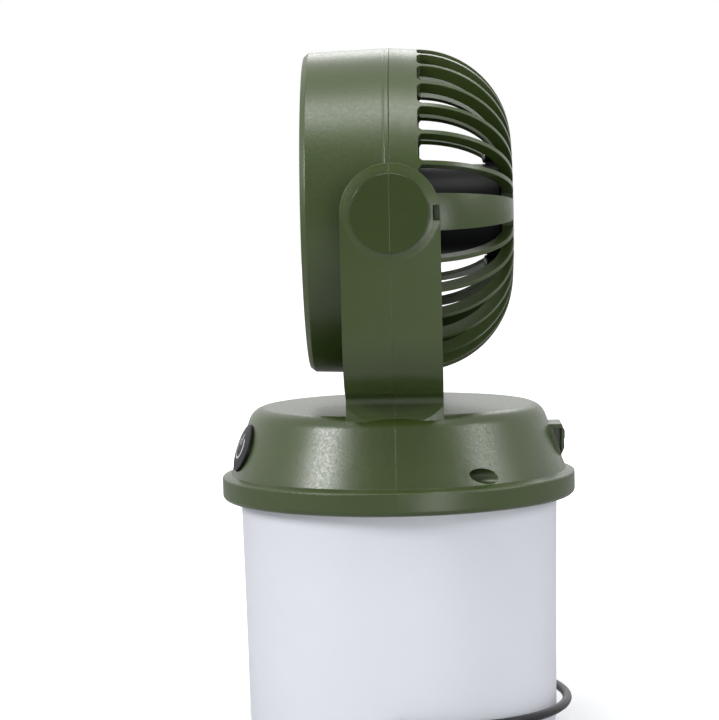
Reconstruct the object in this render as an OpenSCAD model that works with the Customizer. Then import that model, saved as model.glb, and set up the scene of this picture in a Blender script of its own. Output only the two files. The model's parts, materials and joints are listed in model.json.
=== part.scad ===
// Portable fan that tilts in a two-armed yoke, on a dome with a lantern below and a wire bail.
// Origin: centre of the foot, on the surface the lamp stands on. +Z up, the fan blows toward -X,
// the charge port looks toward +X, and the tilt axis runs along Y.

/* [Head] */
// Radius of the drum at the seam between its two housings
head_r = 64; // [60:0.5:68]
// Depth of the front housing, from the seam to the front lip
front_len = 33.5; // [30:0.5:36]
// Radius that the drum loses from the seam to the front lip
drum_draft = 1.1; // [0.5:0.1:2]
// Wall of both housings
drum_wall = 2.2; // [1.8:0.1:2.8]
// Width of the flat front lip
lip_w = 3; // [2.6:0.1:3.4]
// Length of the plain band behind the seam
band_len = 9.6; // [8:0.2:11]
// Radius of the rounded shoulder of the rear guard
guard_round = 37.2; // [35:0.2:39]
// Depth of the guard's bars
bar_depth = 4.5; // [3.5:0.1:5.5]
// Thickness of each bar
bar_t = 1.7; // [1.3:0.1:2.2]
// Divisions of the guard around its axis
bar_count = 32; // [24:4:40]
// Radius of the solid disc at the middle of the rear guard
guard_hub_r = 24.5; // [23.5:0.5:27]

/* [Motor and impeller] */
// Outer radius of the motor cover
cover_r = 17.8; // [16.8:0.2:18.8]
// Wall of the motor cover
cover_wall = 1.6; // [1.2:0.1:2]
// Radius of the motor can
motor_r = 14; // [12:0.5:15]
// Diameter of the motor shaft
shaft_d = 2.3; // [2:0.1:3.2]
// Tip radius of the impeller
fan_r = 56.5; // [52:0.5:57]
// Radius of the impeller's hub
fan_hub_r = 16; // [14:0.5:18]
// Depth of the impeller's hub
fan_len = 20; // [16:0.5:22]
// Number of blades
blade_count = 7; // [5:1:9]
// Thickness of a blade
blade_t = 1.5; // [1.2:0.1:2]

/* [Yoke] */
// Width of each arm
arm_w = 36.8; // [34:0.2:40]
// Gap between the drum and each arm
side_gap = 3; // [2.5:0.1:4.5]
// Thickness of each arm, from its inner to its outer face
arm_depth = 10; // [9:0.2:12]
// Radius of the raised disc at the pivot
disc_r = 14.5; // [13:0.25:15.5]
// How far the raised disc stands out from the arm's face
disc_h = 1.4; // [1:0.1:2]
// Height of the tilt axis over the shoulder of the dome
axis_h = 76.5; // [76:0.5:82]
// Radius of the pivot hubs
hub_r = 9; // [8:0.25:10]
// Bore for the leads in the pivot hubs
hub_bore_r = 4; // [3:0.25:5]

/* [Dome and rim] */
// Radius of the rim
rim_r = 70; // [69.5:0.5:74]
// Height of the rim's lower edge over the table
rim_low = 95.9; // [88:0.5:104]
// Height of the rim
rim_h = 10; // [9:0.1:12]
// Height from the rim's top to the dome's shoulder
dome_h = 26; // [25:0.1:28]
// Slope of the dome's wall from the vertical, in degrees
dome_slope = 20; // [18:0.5:22]
// Width of the rim's ledge outside the dome's wall
ledge_w = 3.5; // [3:0.25:5]
// Radius of the rounded shoulder
shoulder_r = 7; // [5:0.5:8]
// Wall of the dome and the arms
shell_wall = 2.3; // [2:0.1:2.6]

/* [Controls and port] */
// Radius of the buttons
button_r = 9.4; // [8.5:0.1:10]
// Angle of each button from the front, in degrees
button_angle = 16; // [15:0.5:20]
// Height of the button centres over the rim's top
button_rise = 11.2; // [10.6:0.2:12.2]
// Travel of the buttons
button_travel = 0.6; // [0.4:0.1:0.8]
// Width of the port boss
port_w = 19; // [17:0.5:22]
// How far the port boss stays inside the foot of the dome's wall
port_inset = 0.8; // [0:0.1:1.2]

/* [Lantern] */
// How far the diffuser is set in from the rim's edge
diffuser_inset = 7.1; // [6.6:0.1:10]
// Taper of the diffuser, in degrees
diffuser_taper = 0.95; // [0.5:0.05:1.4]
// Radius of the diffuser's lower edge
diffuser_round = 12; // [9:0.5:14]
// Wall of the diffuser
diffuser_wall = 2; // [1.6:0.1:2.6]
// Radius of the lamp board
lamp_board_r = 46; // [42:0.5:50]
// How far the foot pad stands below the diffuser
foot_proud = 0.6; // [0.4:0.1:1.2]

/* [Bail] */
// Wire diameter of the bail
wire_d = 3.6; // [3:0.1:4]
// Gap between the diffuser's upper end and the bail's wire
bail_gap = 0.9; // [0.3:0.1:2]
// Height of the bail's pivots
bail_z = 16; // [14:0.5:24]
// How far the folded bail droops below level, in degrees
bail_droop = 2.2; // [0:0.2:6]
// How far the knuckle at each pivot stands out from the wire
knuckle_proud = 0.3; // [0.2:0.05:0.5]

/* [Clearances] */
// Radial clearance of turning fits
run_gap = 0.06; // [0.03:0.01:0.1]
// Radial clearance around the buttons
button_gap = 0.25; // [0.2:0.05:0.4]
// Radial clearance of pieces that are set in place
seat_gap = 0.1; // [0.05:0.05:0.2]

/* [Hidden] */
$fn = 96;
eps = 0.01;

// Heights
rim_top = rim_low + rim_h;
dome_top = rim_top + dome_h;
axis_z = dome_top + axis_h;

// Radii that follow the rim's, and the arms' faces, which follow the drum's
dome_r = rim_r - ledge_w;
port_x = dome_r - port_inset;
diffuser_r = rim_r - diffuser_inset;
bail_r = diffuser_r + bail_gap + wire_d / 2;
arm_in = head_r + side_gap;
arm_out = arm_in + arm_depth;

// Head, in its own frame: the axis is Z, the seam is z = 0 and the front is at negative z
bevel = 2;
lip_r = head_r - drum_draft;
lip_in = lip_r - bevel * 0.8 - lip_w;
lip_t = 2.4;
guard_centre_r = head_r - 0.7 - guard_round;
head_back = band_len + guard_round;
back_in = head_back - bar_depth;
slot_start = band_len + 1.1;
slot_round = 2.5;
tongue_len = 2;
tongue_t = 1;
drum_in = head_r - drum_wall;
pad_r = 13;
pad_face = drum_in - 1.7;

// Front guard
guard_z = -front_len + lip_t;
guard_t = 3;
guard_ring_r = lip_r - drum_wall - seat_gap - 0.2;
guard_ring_w = 4;
badge_r = 15;
badge_t = 1.6;
front_bar_count = 24;
mid_ring_r = 36;

// Motor cover, can and shaft
cover_front = 6;
cover_floor = back_in - cover_wall;
motor_len = 30;
ear_r = cover_r + 2.6;
ear_boss_r = 2.8;
ear_len = 5.5;
ear_screw_r = 1.2;
ear_head_r = 2.3;
ear_head_h = 1.5;
bearing_r = 3.2;
bearing_len = 3;
shaft_r = shaft_d / 2;

// Impeller
fan_back = -2;
fan_front = fan_back - fan_len;
hub_skin = 2;
blade_pitch = 38;
blade_depth = 17;
camber_r = 34;
blade_reach = 17;
nut_r = 3.6;
nut_len = 3.2;

// Pivot hubs, measured outward along Y
hub_in = pad_face - 2;
hub_flange_r = hub_r + 2.4;
arm_hollow = arm_in + shell_wall;
washer_t = 1;
flange_r = hub_r + 2.5;
flange_in = arm_hollow + washer_t + 0.05;
flange_t = 2;
hub_end = flange_in + flange_t + 0.2;
lug_r = flange_r + 2;
lug_angle = 16;
tilt_limit = 135;
stop_half = 180 - tilt_limit - lug_angle / 2 - 0.5;

// Leads: two round ones in the head, a flat one in the near arm
lead_r = 0.9;
lead_pitch = 1.2;
lead_bend = guard_round - bar_depth - 1.9;
lead_end_z = band_len + lead_bend;
ribbon_t = 1.2;

// Arm profile in the Y-Z plane: Y outward from the middle, Z from the tilt axis
arm_r = arm_w / 2;
foot_r = dome_r - 9.5;
waist_in = 1.4;
waist_rise = 8.1;
waist_z = waist_rise - axis_h;
bend_a = 78;
// the outer bend runs from the arm's face in to the waist over the foot
bend_r = (arm_out - foot_r + waist_in) / (1 - cos(bend_a));
bend_c = [arm_out - bend_r, waist_z + bend_r * sin(bend_a)];
inner_bend_r = bend_r - 2;
inner_c = [arm_in - inner_bend_r, bend_c[1] + 6];
inner_a = 55;
waist_r = 3;
foot_lean = 20;
disc_step = 0.5;

// Dome and rim profile
shoulder_z = dome_top - shoulder_r;
foot_fillet = 5;
fillet_bite = 0.06;
shoulder_c = dome_r - (shoulder_z + shoulder_r * sin(dome_slope) - rim_top) * tan(dome_slope)
             - shoulder_r * cos(dome_slope);
// centre of the shoulder's round, from the tilt axis
shoulder_at = [shoulder_c, shoulder_z - axis_z];
crown = 0.6;
rim_round = 0.8;
rim_lip = 2;
ledge_slope = 18;
sleeve_r = diffuser_r + 0.4;
shelf_r = diffuser_r - 8.9;
shelf_top = rim_top + 1.1;
shelf_low = shelf_top - 2.4;

// Shell screws, in wells that open on the rear of the dome
well_r = 2.9;
well_y = dome_r - 10.35;
well_z = rim_top + 3.1;
well_floor = 14;
boss_wall = 1.6;
screw_r = 1.3;
screw_tip = -9;

// Controls: a button's own frame has its origin on the dome's wall and Z outward
button_z = rim_top + button_rise;
button_wall_r = dome_r - button_rise * tan(dome_slope);
button_proud = 0.8;
button_crown = 1;
button_flange_r = button_r + 1.2;
button_depth = 3.4;
button_flange_t = 1.2;
stem_len = 0.7;
button_seat = button_depth - button_flange_t - 0.1;
// the flange is cut flat below, to pass over the shelf
button_flat = button_r + 0.2;
switch_top = -button_depth - stem_len - button_travel - 0.05;
plunger_h = 0.9;
switch_h = 3.4;
board_t = 1.2;
switch_board_z = switch_top - plunger_h - switch_h;
post_y = button_flange_r + 2.1;
post_r = 1.6;

// Port boss and charge socket
port_top = rim_top + 17.6;
port_face_low = rim_top + 8.2;
port_low = rim_top + 5.3;
port_z = rim_top + 11.9;
flap_w = 12.6;
flap_low = rim_top + 8.7;
flap_high = rim_top + 15.1;
flap_t = 1.6;
flap_hinge = [port_x - flap_t / 2, flap_low];
socket_size = [7.4, 9, 3.2];
socket_board = [16, 14, 1.6];
socket_face = port_x - flap_t - 0.2;

// Inside the dome
tray_t = 1.6;
tray_r = shelf_r - 3;
cell_r = 9.1;
cell_len = 65;
cell_gap = 0.9;
cell_z = shelf_low + tray_t + cell_r;
board_z = cell_z + cell_r + 0.8;
main_board = [78, 52, 1.6];
// Route of the flat lead: distance outward and height over the tilt axis
lead_drop = board_z + main_board[2] + ribbon_t / 2 - axis_z;
lead_bend_r = bend_r - shell_wall - 1.1;
function lead_at(a) = bend_c + lead_bend_r * [cos(a), -sin(a)];
lead_route = [
  [hub_end - 9, 0],
  [arm_out - shell_wall - 1.1, 0],
  lead_at(0), lead_at(20), lead_at(40), lead_at(60), lead_at(74),
  [bend_c[0] - 1.5, waist_z + 1],
  [bend_c[0] - 7, lead_drop + 4],
  [bend_c[0] - 11.5, lead_drop],
  [main_board[1] / 2 - 4, lead_drop]
];
tray_post = [main_board[0] / 2 - 3, main_board[1] / 2 - 6];
deck_r = diffuser_r - diffuser_wall - 0.3;
deck_t = 2.2;
deck_low = shelf_low - deck_t;
deck_screw_r = diffuser_r - 5.6;
deck_screw_tip = 1.2;
deck_screw_len = 8;
deck_head_r = 2.3;
deck_head_h = 1.5;
lamp_board_t = 1.6;
diode = [2.8, 2.8, 0.7];
cone_r = 19;
cone_h = 22;

// Diffuser, foot and bail
diffuser_low = foot_proud;
diffuser_top = shelf_low - 1;
diffuser_low_r = diffuser_r - (diffuser_top - diffuser_low - diffuser_round) * tan(diffuser_taper);
foot_pad_r = diffuser_low_r - diffuser_round - 6;
foot_groove = 1;
bush_r = 3.8;
bush_flange_r = 6;
bush_in = diffuser_low_r - 6;
bush_flange_t = sqrt(pow(diffuser_low_r - diffuser_wall, 2) - pow(bush_flange_r, 2)) - bush_in;
wire_r = wire_d / 2;
// Knuckle where the wire turns in to its pivots
knuckle_r = wire_r + knuckle_proud;

green = "#566a34";
black = "#232427";
steel = "#b9bcc0";

// ---------- helpers ----------

// Turns a piece made about Z into the head: its Z becomes the lamp's +X at the tilt axis
module in_head() translate([0, 0, axis_z]) rotate([0, 90, 0]) children();

// Turns a piece made about Z so that its Z points outward at a pivot: side is -1 or 1
module at_pivot(side) translate([0, 0, axis_z]) rotate([-90 * side, 0, 0]) children();

// Both pivots
module both_pivots() for (side = [-1, 1]) {
  $side = side;
  at_pivot(side) children();
}

// In a pivot's frame, turns what points along its Y so that it points up, or down
module pivot_up() rotate([0, 0, $side > 0 ? 180 : 0]) children();
module pivot_down() rotate([0, 0, $side > 0 ? 0 : 180]) children();

// A button's own frame: side is -1 for the one nearer -Y
module at_button(side) rotate([0, 0, 180 - side * button_angle])
  translate([button_wall_r, 0, button_z]) rotate([0, 90 - dome_slope, 0]) children();

// Keeps the front half (side -1) or the rear half (side 1) of what it is given
module half(side) intersection() {
  children();
  translate([side < 0 ? -200 : 0, -200, -10]) cube([200, 400, 400]);
}

// ---------- head ----------

// Outline of a band of the rear housing, from the axis outward, cut by an inset from the outer face
module rear_outline(inset) {
  square([guard_centre_r, head_back - inset]);
  polygon([[0, 0], [head_r - inset, 0], [head_r - 0.7 - inset, band_len], [0, band_len]]);
  intersection() {
    translate([guard_centre_r, band_len]) circle(guard_round - inset, $fn = 180);
    translate([guard_centre_r, band_len]) square(guard_round);
  }
}

// Pads inside the drum that the pivot hubs bear on, with the hub's bore
module hub_pads() for (side = [-1, 1]) rotate([-90 * side, 0, 0])
  rotate([0, 0, 45]) translate([0, 0, pad_face]) cylinder(r = pad_r, h = drum_in - pad_face + 0.6);

module hub_bores() for (side = [-1, 1]) rotate([-90 * side, 0, 0]) rotate([0, 0, 45]) {
  translate([0, 0, hub_in - 5]) cylinder(r = hub_r, h = head_r);
  // room for the hub's inner flange, which seats on the pad
  translate([0, 0, hub_in - 5]) cylinder(r = hub_flange_r + 0.3, h = pad_face - hub_in + 5);
}

module head_front_housing() color(green) in_head() difference() {
  union() {
    rotate_extrude($fn = 180) polygon([
      [head_r, 0],
      [lip_r, -front_len + bevel],
      [lip_r - bevel * 0.8, -front_len],
      [lip_in, -front_len],
      [lip_in, guard_z],
      [lip_r - drum_wall - 0.2, guard_z],
      [drum_in, -tongue_len - 0.3],
      [drum_in, 0]
    ]);
    intersection() {
      hub_pads();
      // short of the seam, where the tongue of the rear housing comes in
      translate([0, 0, -front_len]) cylinder(r = drum_in + 0.5, h = front_len - tongue_len - 0.3);
    }
  }
  hub_bores();
}

module guard_slots() for (k = [0 : bar_count - 1])
  if (k % (bar_count / 2) != bar_count / 4)
    rotate([0, 0, k * 360 / bar_count]) guard_slot();

// One slot: a wedge between two bars, with round corners at its front end
module guard_slot() {
  step = 180 / bar_count;
  apex = bar_t / 2 / sin(step);
  wide = (head_r * tan(step) - bar_t / 2 / cos(step)) * 2;
  intersection() {
    translate([0, 0, slot_start]) linear_extrude(head_back) difference() {
      polygon([
        [apex, 0],
        [head_r + 5, (head_r + 5 - apex) * tan(step)],
        [head_r + 5, -(head_r + 5 - apex) * tan(step)]
      ]);
      circle(guard_hub_r);
    }
    rotate([0, 90, 0]) linear_extrude(head_r + 10) union() {
      translate([-head_back - 5, -wide / 2]) square([head_back + 5 - slot_start - slot_round, wide]);
      translate([-slot_start - slot_round - eps, -wide / 2 + slot_round])
        square([slot_round + eps, wide - 2 * slot_round]);
      for (s = [-1, 1])
        translate([-slot_start - slot_round, s * (wide / 2 - slot_round)]) circle(slot_round, $fn = 32);
    }
  }
}

module head_rear_housing() color(green) in_head() difference() {
  union() {
    rotate_extrude($fn = 180) difference() {
      rear_outline(0);
      // the hollow of the guard, bounded by the inner arc of the bars
      rear_outline(bar_depth);
      // the thinner wall of the band
      square([drum_in - 0.4, band_len - 3]);
    }
    rotate_extrude($fn = 180) polygon([
      [drum_in - seat_gap - tongue_t, -tongue_len],
      [drum_in - seat_gap, -tongue_len],
      [drum_in - seat_gap, 0],
      [head_r - 1, 0],
      [head_r - 1.4, band_len / 2],
      [drum_in - 0.6, band_len / 2],
      [drum_in - seat_gap - tongue_t, 1.5]
    ]);
    intersection() {
      hub_pads();
      cylinder(r = drum_in, h = pad_r + 1);
    }
  }
  hub_bores();
  guard_slots();
  for (a = [0, 180]) rotate([0, 0, a])
    translate([ear_r, 0, back_in - 1]) cylinder(r = ear_screw_r, h = 3.6, $fn = 24);
}

module front_guard() color(green) in_head() translate([0, 0, guard_z]) {
  difference() {
    cylinder(r = guard_ring_r, h = guard_t, $fn = 180);
    translate([0, 0, -1]) cylinder(r = guard_ring_r - guard_ring_w, h = guard_t + 2, $fn = 180);
  }
  difference() {
    cylinder(r = mid_ring_r + 1, h = guard_t - 0.6, $fn = 120);
    translate([0, 0, -1]) cylinder(r = mid_ring_r - 1, h = guard_t + 2, $fn = 120);
  }
  difference() {
    cylinder(r = badge_r + 2.5, h = guard_t, $fn = 96);
    translate([0, 0, -1]) cylinder(r = badge_r + seat_gap, h = 1 + badge_t, $fn = 96);
  }
  for (k = [0 : front_bar_count - 1]) rotate([0, 0, (k + 0.5) * 360 / front_bar_count])
    translate([badge_r + 2, -bar_t / 2, 0.2]) cube([guard_ring_r - badge_r - 4, bar_t, guard_t - 0.4]);
}

module guard_badge() color(green) in_head() translate([0, 0, guard_z]) {
  cylinder(r = badge_r, h = badge_t);
  translate([0, 0, -0.5]) cylinder(r1 = badge_r - 1.2, r2 = badge_r - 0.7, h = 0.5 + eps);
}

// ---------- motor and impeller ----------

module motor_cover() color(black) in_head() difference() {
  union() {
    translate([0, 0, cover_front]) cylinder(r = cover_r, h = back_in - cover_front);
    for (a = [0, 180]) rotate([0, 0, a]) {
      translate([ear_r, 0, back_in - ear_len]) cylinder(r = ear_boss_r, h = ear_len, $fn = 32);
      translate([cover_r - 1, -ear_boss_r + 0.6, back_in - ear_len])
        cube([ear_r - cover_r + 1, 2 * ear_boss_r - 1.2, ear_len]);
    }
  }
  translate([0, 0, cover_front - 1]) cylinder(r = cover_r - cover_wall, h = cover_floor - cover_front + 1);
  for (a = [0, 180]) rotate([0, 0, a])
    translate([ear_r, 0, back_in - ear_len - 4]) cylinder(r = ear_screw_r + 0.1, h = ear_len + 5, $fn = 24);
  // passage for the motor leads
  for (s = [-1, 1]) translate([s * lead_pitch, -cover_r + 4, lead_end_z])
    rotate([90, 0, 0]) rotate([0, 0, 45]) cylinder(r = lead_r + 0.1, h = 8, $fn = 24);
}

module cover_screws() color(steel) in_head() for (a = [0, 180]) rotate([0, 0, a])
  translate([ear_r, 0, back_in - ear_len]) difference() {
    union() {
      translate([0, 0, -ear_head_h]) cylinder(r = ear_head_r, h = ear_head_h, $fn = 32);
      cylinder(r = ear_screw_r, h = ear_len + 2.5, $fn = 24);
    }
    for (t = [0, 90]) rotate([0, 0, t])
      translate([-1.4, -0.3, -ear_head_h - 0.5]) cube([2.8, 0.6, 1.2]);
  }

module motor_can() color(steel) in_head() difference() {
  union() {
    translate([0, 0, cover_floor - motor_len]) cylinder(r = motor_r, h = motor_len);
    translate([0, 0, cover_floor - motor_len - bearing_len + 0.8])
      cylinder(r = bearing_r + 1.8, h = bearing_len);
    // collar that centres the can in its cover
    translate([0, 0, cover_floor - motor_len + 2])
      cylinder(r = cover_r - cover_wall, h = 3);
  }
  translate([0, 0, cover_floor - motor_len - bearing_len])
    cylinder(r = bearing_r, h = bearing_len + 0.8);
  translate([0, 0, cover_floor - motor_len - bearing_len])
    cylinder(r = shaft_r + 0.8, h = motor_len - 2);
  translate([0, 0, cover_floor - motor_len + 3]) cylinder(r = motor_r - 2.5, h = motor_len - 6);
}

module motor_bearing() color("#b58f3c") in_head()
  translate([0, 0, cover_floor - motor_len - bearing_len + 0.8]) difference() {
    cylinder(r = bearing_r, h = bearing_len, $fn = 48);
    translate([0, 0, -1]) cylinder(r = shaft_r + run_gap, h = bearing_len + 2, $fn = 48);
  }

module motor_shaft() color(steel) in_head()
  translate([0, 0, fan_front + hub_skin]) cylinder(r = shaft_r, h = cover_floor - 5.5 - fan_front - hub_skin, $fn = 48);

module impeller() color(black) in_head() difference() {
  union() {
    rotate_extrude() polygon([
      [shaft_r, fan_front + hub_skin],
      [nut_r + 0.6, fan_front + hub_skin],
      [nut_r + 0.6, fan_front],
      [fan_hub_r - 2, fan_front],
      [fan_hub_r, fan_front + 2],
      [fan_hub_r, fan_back],
      [fan_hub_r - hub_skin, fan_back],
      [fan_hub_r - hub_skin, fan_front + 2 * hub_skin],
      [3.4, fan_front + 2 * hub_skin],
      [3.4, fan_back - 2],
      [shaft_r, fan_back - 2]
    ]);
    for (k = [0 : blade_count - 1]) rotate([0, 0, k * 360 / blade_count])
      translate([0, 0, fan_back - 1.5 - blade_depth / 2]) blade();
  }
}

// One blade: a strip of a thin tube whose axis is radial, turned to the blade's pitch
module blade() intersection() {
  rotate([0, 90, 0]) rotate([0, 0, blade_pitch]) difference() {
    translate([0, -camber_r, 0]) cylinder(r = camber_r + blade_t / 2, h = fan_r + 2, $fn = 120);
    translate([0, -camber_r, -1]) cylinder(r = camber_r - blade_t / 2, h = fan_r + 4, $fn = 120);
  }
  translate([0, 0, -blade_depth / 2]) difference() {
    cylinder(r = fan_r, h = blade_depth, $fn = 120);
    translate([0, 0, -1]) cylinder(r = fan_hub_r - 0.5, h = blade_depth + 2, $fn = 96);
  }
  translate([0, -blade_reach, -blade_depth / 2]) cube([fan_r + 1, 2 * blade_reach, blade_depth]);
}

module impeller_nut() color(black) in_head() translate([0, 0, fan_front + hub_skin - nut_len]) difference() {
  union() {
    cylinder(r = nut_r - 0.4, h = nut_len, $fn = 48);
    translate([0, 0, nut_len - 1]) cylinder(r = nut_r, h = 1, $fn = 48);
  }
  translate([0, 0, nut_len - 2]) cylinder(r = shaft_r, h = 3, $fn = 32);
}

// ---------- pivots ----------

module hub_lug(r, half_angle, h) intersection() {
  cylinder(r = r, h = h);
  linear_extrude(h) polygon([
    [0, 0],
    [-40 * tan(half_angle), 40],
    [40 * tan(half_angle), 40]
  ]);
}

module pivot_hubs() color(black) both_pivots() difference() {
  union() {
    translate([0, 0, hub_in]) cylinder(r = hub_r, h = hub_end - hub_in);
    translate([0, 0, hub_in]) cylinder(r = hub_flange_r, h = pad_face - hub_in);
    translate([0, 0, flange_in]) cylinder(r = flange_r, h = flange_t);
    translate([0, 0, flange_in]) pivot_up() hub_lug(lug_r, lug_angle / 2, flange_t);
  }
  translate([0, 0, hub_in - 1]) cylinder(r = hub_bore_r, h = hub_end - hub_in + 2, $fn = 48);
}

module friction_washers() color("#8d2f26") both_pivots() translate([0, 0, arm_hollow]) difference() {
  cylinder(r = flange_r, h = washer_t);
  translate([0, 0, -1]) cylinder(r = hub_r + 0.3, h = washer_t + 2);
}

// ---------- yoke and dome ----------

// Arm profile: y outward, z from the tilt axis, pulled in all round by an inset
module arm_outline(inset) difference() {
  union() {
    translate([0, bend_c[1]]) square([arm_out - inset, -bend_c[1] + arm_r + 2]);
    intersection() {
      translate(bend_c) circle(bend_r - inset, $fn = 180);
      translate([bend_c[0], bend_c[1] - bend_r * sin(bend_a)]) square([bend_r, bend_r]);
    }
    translate([0, bend_c[1] - bend_r * sin(bend_a)])
      square([bend_c[0] + eps, bend_r * sin(bend_a) + eps]);
    foot_outline(inset);
  }
  translate([-1, inner_c[1]]) square([arm_in + 1 + inset, 80]);
  translate(inner_c) circle(inner_bend_r + inset, $fn = 180);
  inner_slope(inset);
  waist_cut(inset);
}

// Solid of the foot below the bend: from the waist it leans out and flows into the dome's shoulder
module foot_outline(inset) {
  top = bend_c[1] - bend_r * sin(bend_a);
  low = -axis_h - 4;
  start = waist_c() - (waist_r + inset) * foot_n();
  foot = fillet_c() - (foot_fillet + inset) * foot_n();
  toe = inset > 0 ? [foot[0], low] : shoulder_at + (shoulder_r - 0.8) * (fillet_c() - shoulder_at)
    / norm(fillet_c() - shoulder_at);
  difference() {
    polygon([
      [0, top + 1 + inset],
      [bend_c[0] + bend_r * cos(bend_a) - inset, top + 1 + inset],
      [bend_c[0] + bend_r * cos(bend_a) - inset, waist_c()[1]],
      start, foot, toe, [toe[0], low - eps], [0, low - eps]
    ]);
    if (inset == 0) translate(fillet_c()) circle(foot_fillet, $fn = 96);
  }
}

// Outward direction of the foot's face
function foot_n() = [cos(foot_lean), sin(foot_lean)];

// Centre of the hollow round between the foot's face and the shoulder
function fillet_c() = let (
  d = [sin(foot_lean), -cos(foot_lean)],
  w = waist_c() + (foot_fillet - waist_r) * foot_n() - shoulder_at,
  reach = shoulder_r + foot_fillet - fillet_bite,
  b = w * d,
  t = -b - sqrt(b * b - w * w + reach * reach)
) shoulder_at + w + t * d;

// Centre of the small round at the waist, on the bend's own normal
function waist_c() = [
  bend_c[0] + (bend_r + waist_r) * cos(bend_a),
  bend_c[1] - (bend_r + waist_r) * sin(bend_a)
];

module waist_cut(inset) translate(waist_c()) circle(waist_r + inset, $fn = 48);

// Space under the head: the inner face slopes from the bend down to the dome
module inner_slope(inset) {
  p = inner_c + inner_bend_r * [cos(inner_a), -sin(inner_a)];
  n = inset * [cos(inner_a), -sin(inner_a)];
  run = (p[1] + axis_h + 6) / cos(inner_a);
  q = p + run * [-sin(inner_a), -cos(inner_a)];
  polygon([p + n, q + n, [-1, q[1]], [-1, inner_c[1]], inner_c]);
}

// Both arms as solids, pulled in by an inset: the profile along X, cut round at the top
module arms(inset) for (side = [-1, 1]) intersection() {
  translate([0, 0, axis_z]) scale_y(side) rotate([90, 0, 90])
    translate([0, 0, -arm_r - 3]) linear_extrude(arm_w + 6) arm_outline(inset);
  union() {
    at_pivot(side) cylinder(r = arm_r - inset, h = 100, $fn = 180);
    translate([-arm_r + inset, side < 0 ? -100 : 0, dome_top - 8]) cube([arm_w - 2 * inset, 100, axis_h + 8]);
  }
}

module scale_y(side) {
  if (side < 0) mirror([0, 1, 0]) children();
  else children();
}

// Raised disc and the cone that leads up to it
module arm_discs() both_pivots() {
  translate([0, 0, arm_out - 1]) cylinder(r = arm_r, h = 1);
  translate([0, 0, arm_out]) cylinder(r1 = arm_r, r2 = disc_r + 0.6, h = disc_h - disc_step);
  translate([0, 0, arm_out]) cylinder(r = disc_r, h = disc_h);
}

module dome_solid() rotate_extrude($fn = 240) union() {
  polygon([
    [0, rim_low],
    [rim_r - rim_lip, rim_low],
    [rim_r - rim_lip, rim_low + rim_lip],
    [dome_r, rim_low + rim_lip],
    [dome_r, rim_top],
    [dome_r - (shoulder_z + shoulder_r * sin(dome_slope) - rim_top) * tan(dome_slope),
     shoulder_z + shoulder_r * sin(dome_slope)],
    [shoulder_c, shoulder_z],
    [shoulder_c, dome_top],
    [0, dome_top + crown]
  ]);
  intersection() {
    translate([shoulder_c, shoulder_z]) circle(shoulder_r, $fn = 96);
    translate([shoulder_c - eps, shoulder_z]) square(shoulder_r + 1);
  }
  // rim with a soft lower edge, and a ledge that slopes down to a small round
  translate([0, rim_low + rim_lip]) square([rim_r, rim_edge()[1] - rim_low - rim_lip]);
  translate([rim_r - rim_lip, rim_low + rim_lip]) circle(rim_lip, $fn = 96);
  translate(rim_edge()) circle(rim_round, $fn = 64);
  polygon([
    [0, rim_edge()[1] - eps],
    [rim_edge()[0], rim_edge()[1] - eps],
    rim_edge() + rim_round * [sin(ledge_slope), cos(ledge_slope)],
    [dome_r, rim_top],
    [0, rim_top]
  ]);
}

// Centre of the round at the rim's upper edge, which the ledge meets smoothly
function rim_edge() = let (r = rim_r - rim_round) [
  r,
  rim_top - (r + rim_round * sin(ledge_slope) - dome_r) * tan(ledge_slope) - rim_round * cos(ledge_slope)
];

// Room inside the dome, with the shelf that carries the lamp deck
module dome_room() rotate_extrude($fn = 240) union() {
  square([sleeve_r, shelf_low]);
  square([shelf_r, dome_top - shell_wall - 2]);
  polygon([
    [0, shelf_top],
    [dome_r - shell_wall - 0.6, shelf_top],
    [dome_r - shell_wall / cos(dome_slope) - (shoulder_z - rim_top) * tan(dome_slope), shoulder_z],
    [shoulder_c + shoulder_r - shell_wall - 2, dome_top - shell_wall - 2],
    [shoulder_c, dome_top - shell_wall],
    [0, dome_top - shell_wall]
  ]);
}

module port_boss() translate([0, port_w / 2, 0]) rotate([90, 0, 0]) linear_extrude(port_w) port_side(0);

// Side view of the port boss: flat top, upright face, undercut to the wall
module port_side(inset) polygon([
  [dome_r - 12 + inset * 6, port_top - inset],
  [port_x - 0.9 - inset, port_top - inset],
  [port_x - inset, port_top - 2.3 - inset],
  [port_x - inset, port_face_low + inset],
  [port_x - 1.35 - inset * 0.7, port_low + inset * 2],
  [dome_r - 5 + inset, port_low + inset * 2]
]);

module port_cuts() {
  // pocket for the cover flap, with room below it for the strap to fold
  translate([port_x - flap_t - 0.1, -flap_w / 2 - 0.3, flap_low - 1.1])
    cube([5, flap_w + 0.6, flap_high - flap_low + 1.4]);
  // socket opening
  translate([socket_face - socket_size[0] - 0.4, -socket_size[1] / 2 - 0.15, port_z - socket_size[2] / 2 - 0.15])
    cube([12, socket_size[1] + 0.3, socket_size[2] + 0.3]);
  translate([socket_face - 18, -socket_board[1] / 2 - 0.3, port_z - socket_size[2] / 2 - socket_board[2] - 0.1])
    cube([16.3, socket_board[1] + 0.6, socket_board[2] + socket_size[2] + 0.6]);
  // triangular pockets in both sides of the boss
  for (side = [-1, 1])
    translate([0, side * (port_w / 2 - 0.5) + 1.5, 0]) rotate([90, 0, 0]) linear_extrude(3) polygon([
      [port_x - 4.5, port_top - 1.7],
      [port_x - 1.1, port_top - 1.7],
      [port_x - 1.3, port_top - 11.6]
    ]);
}

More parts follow.
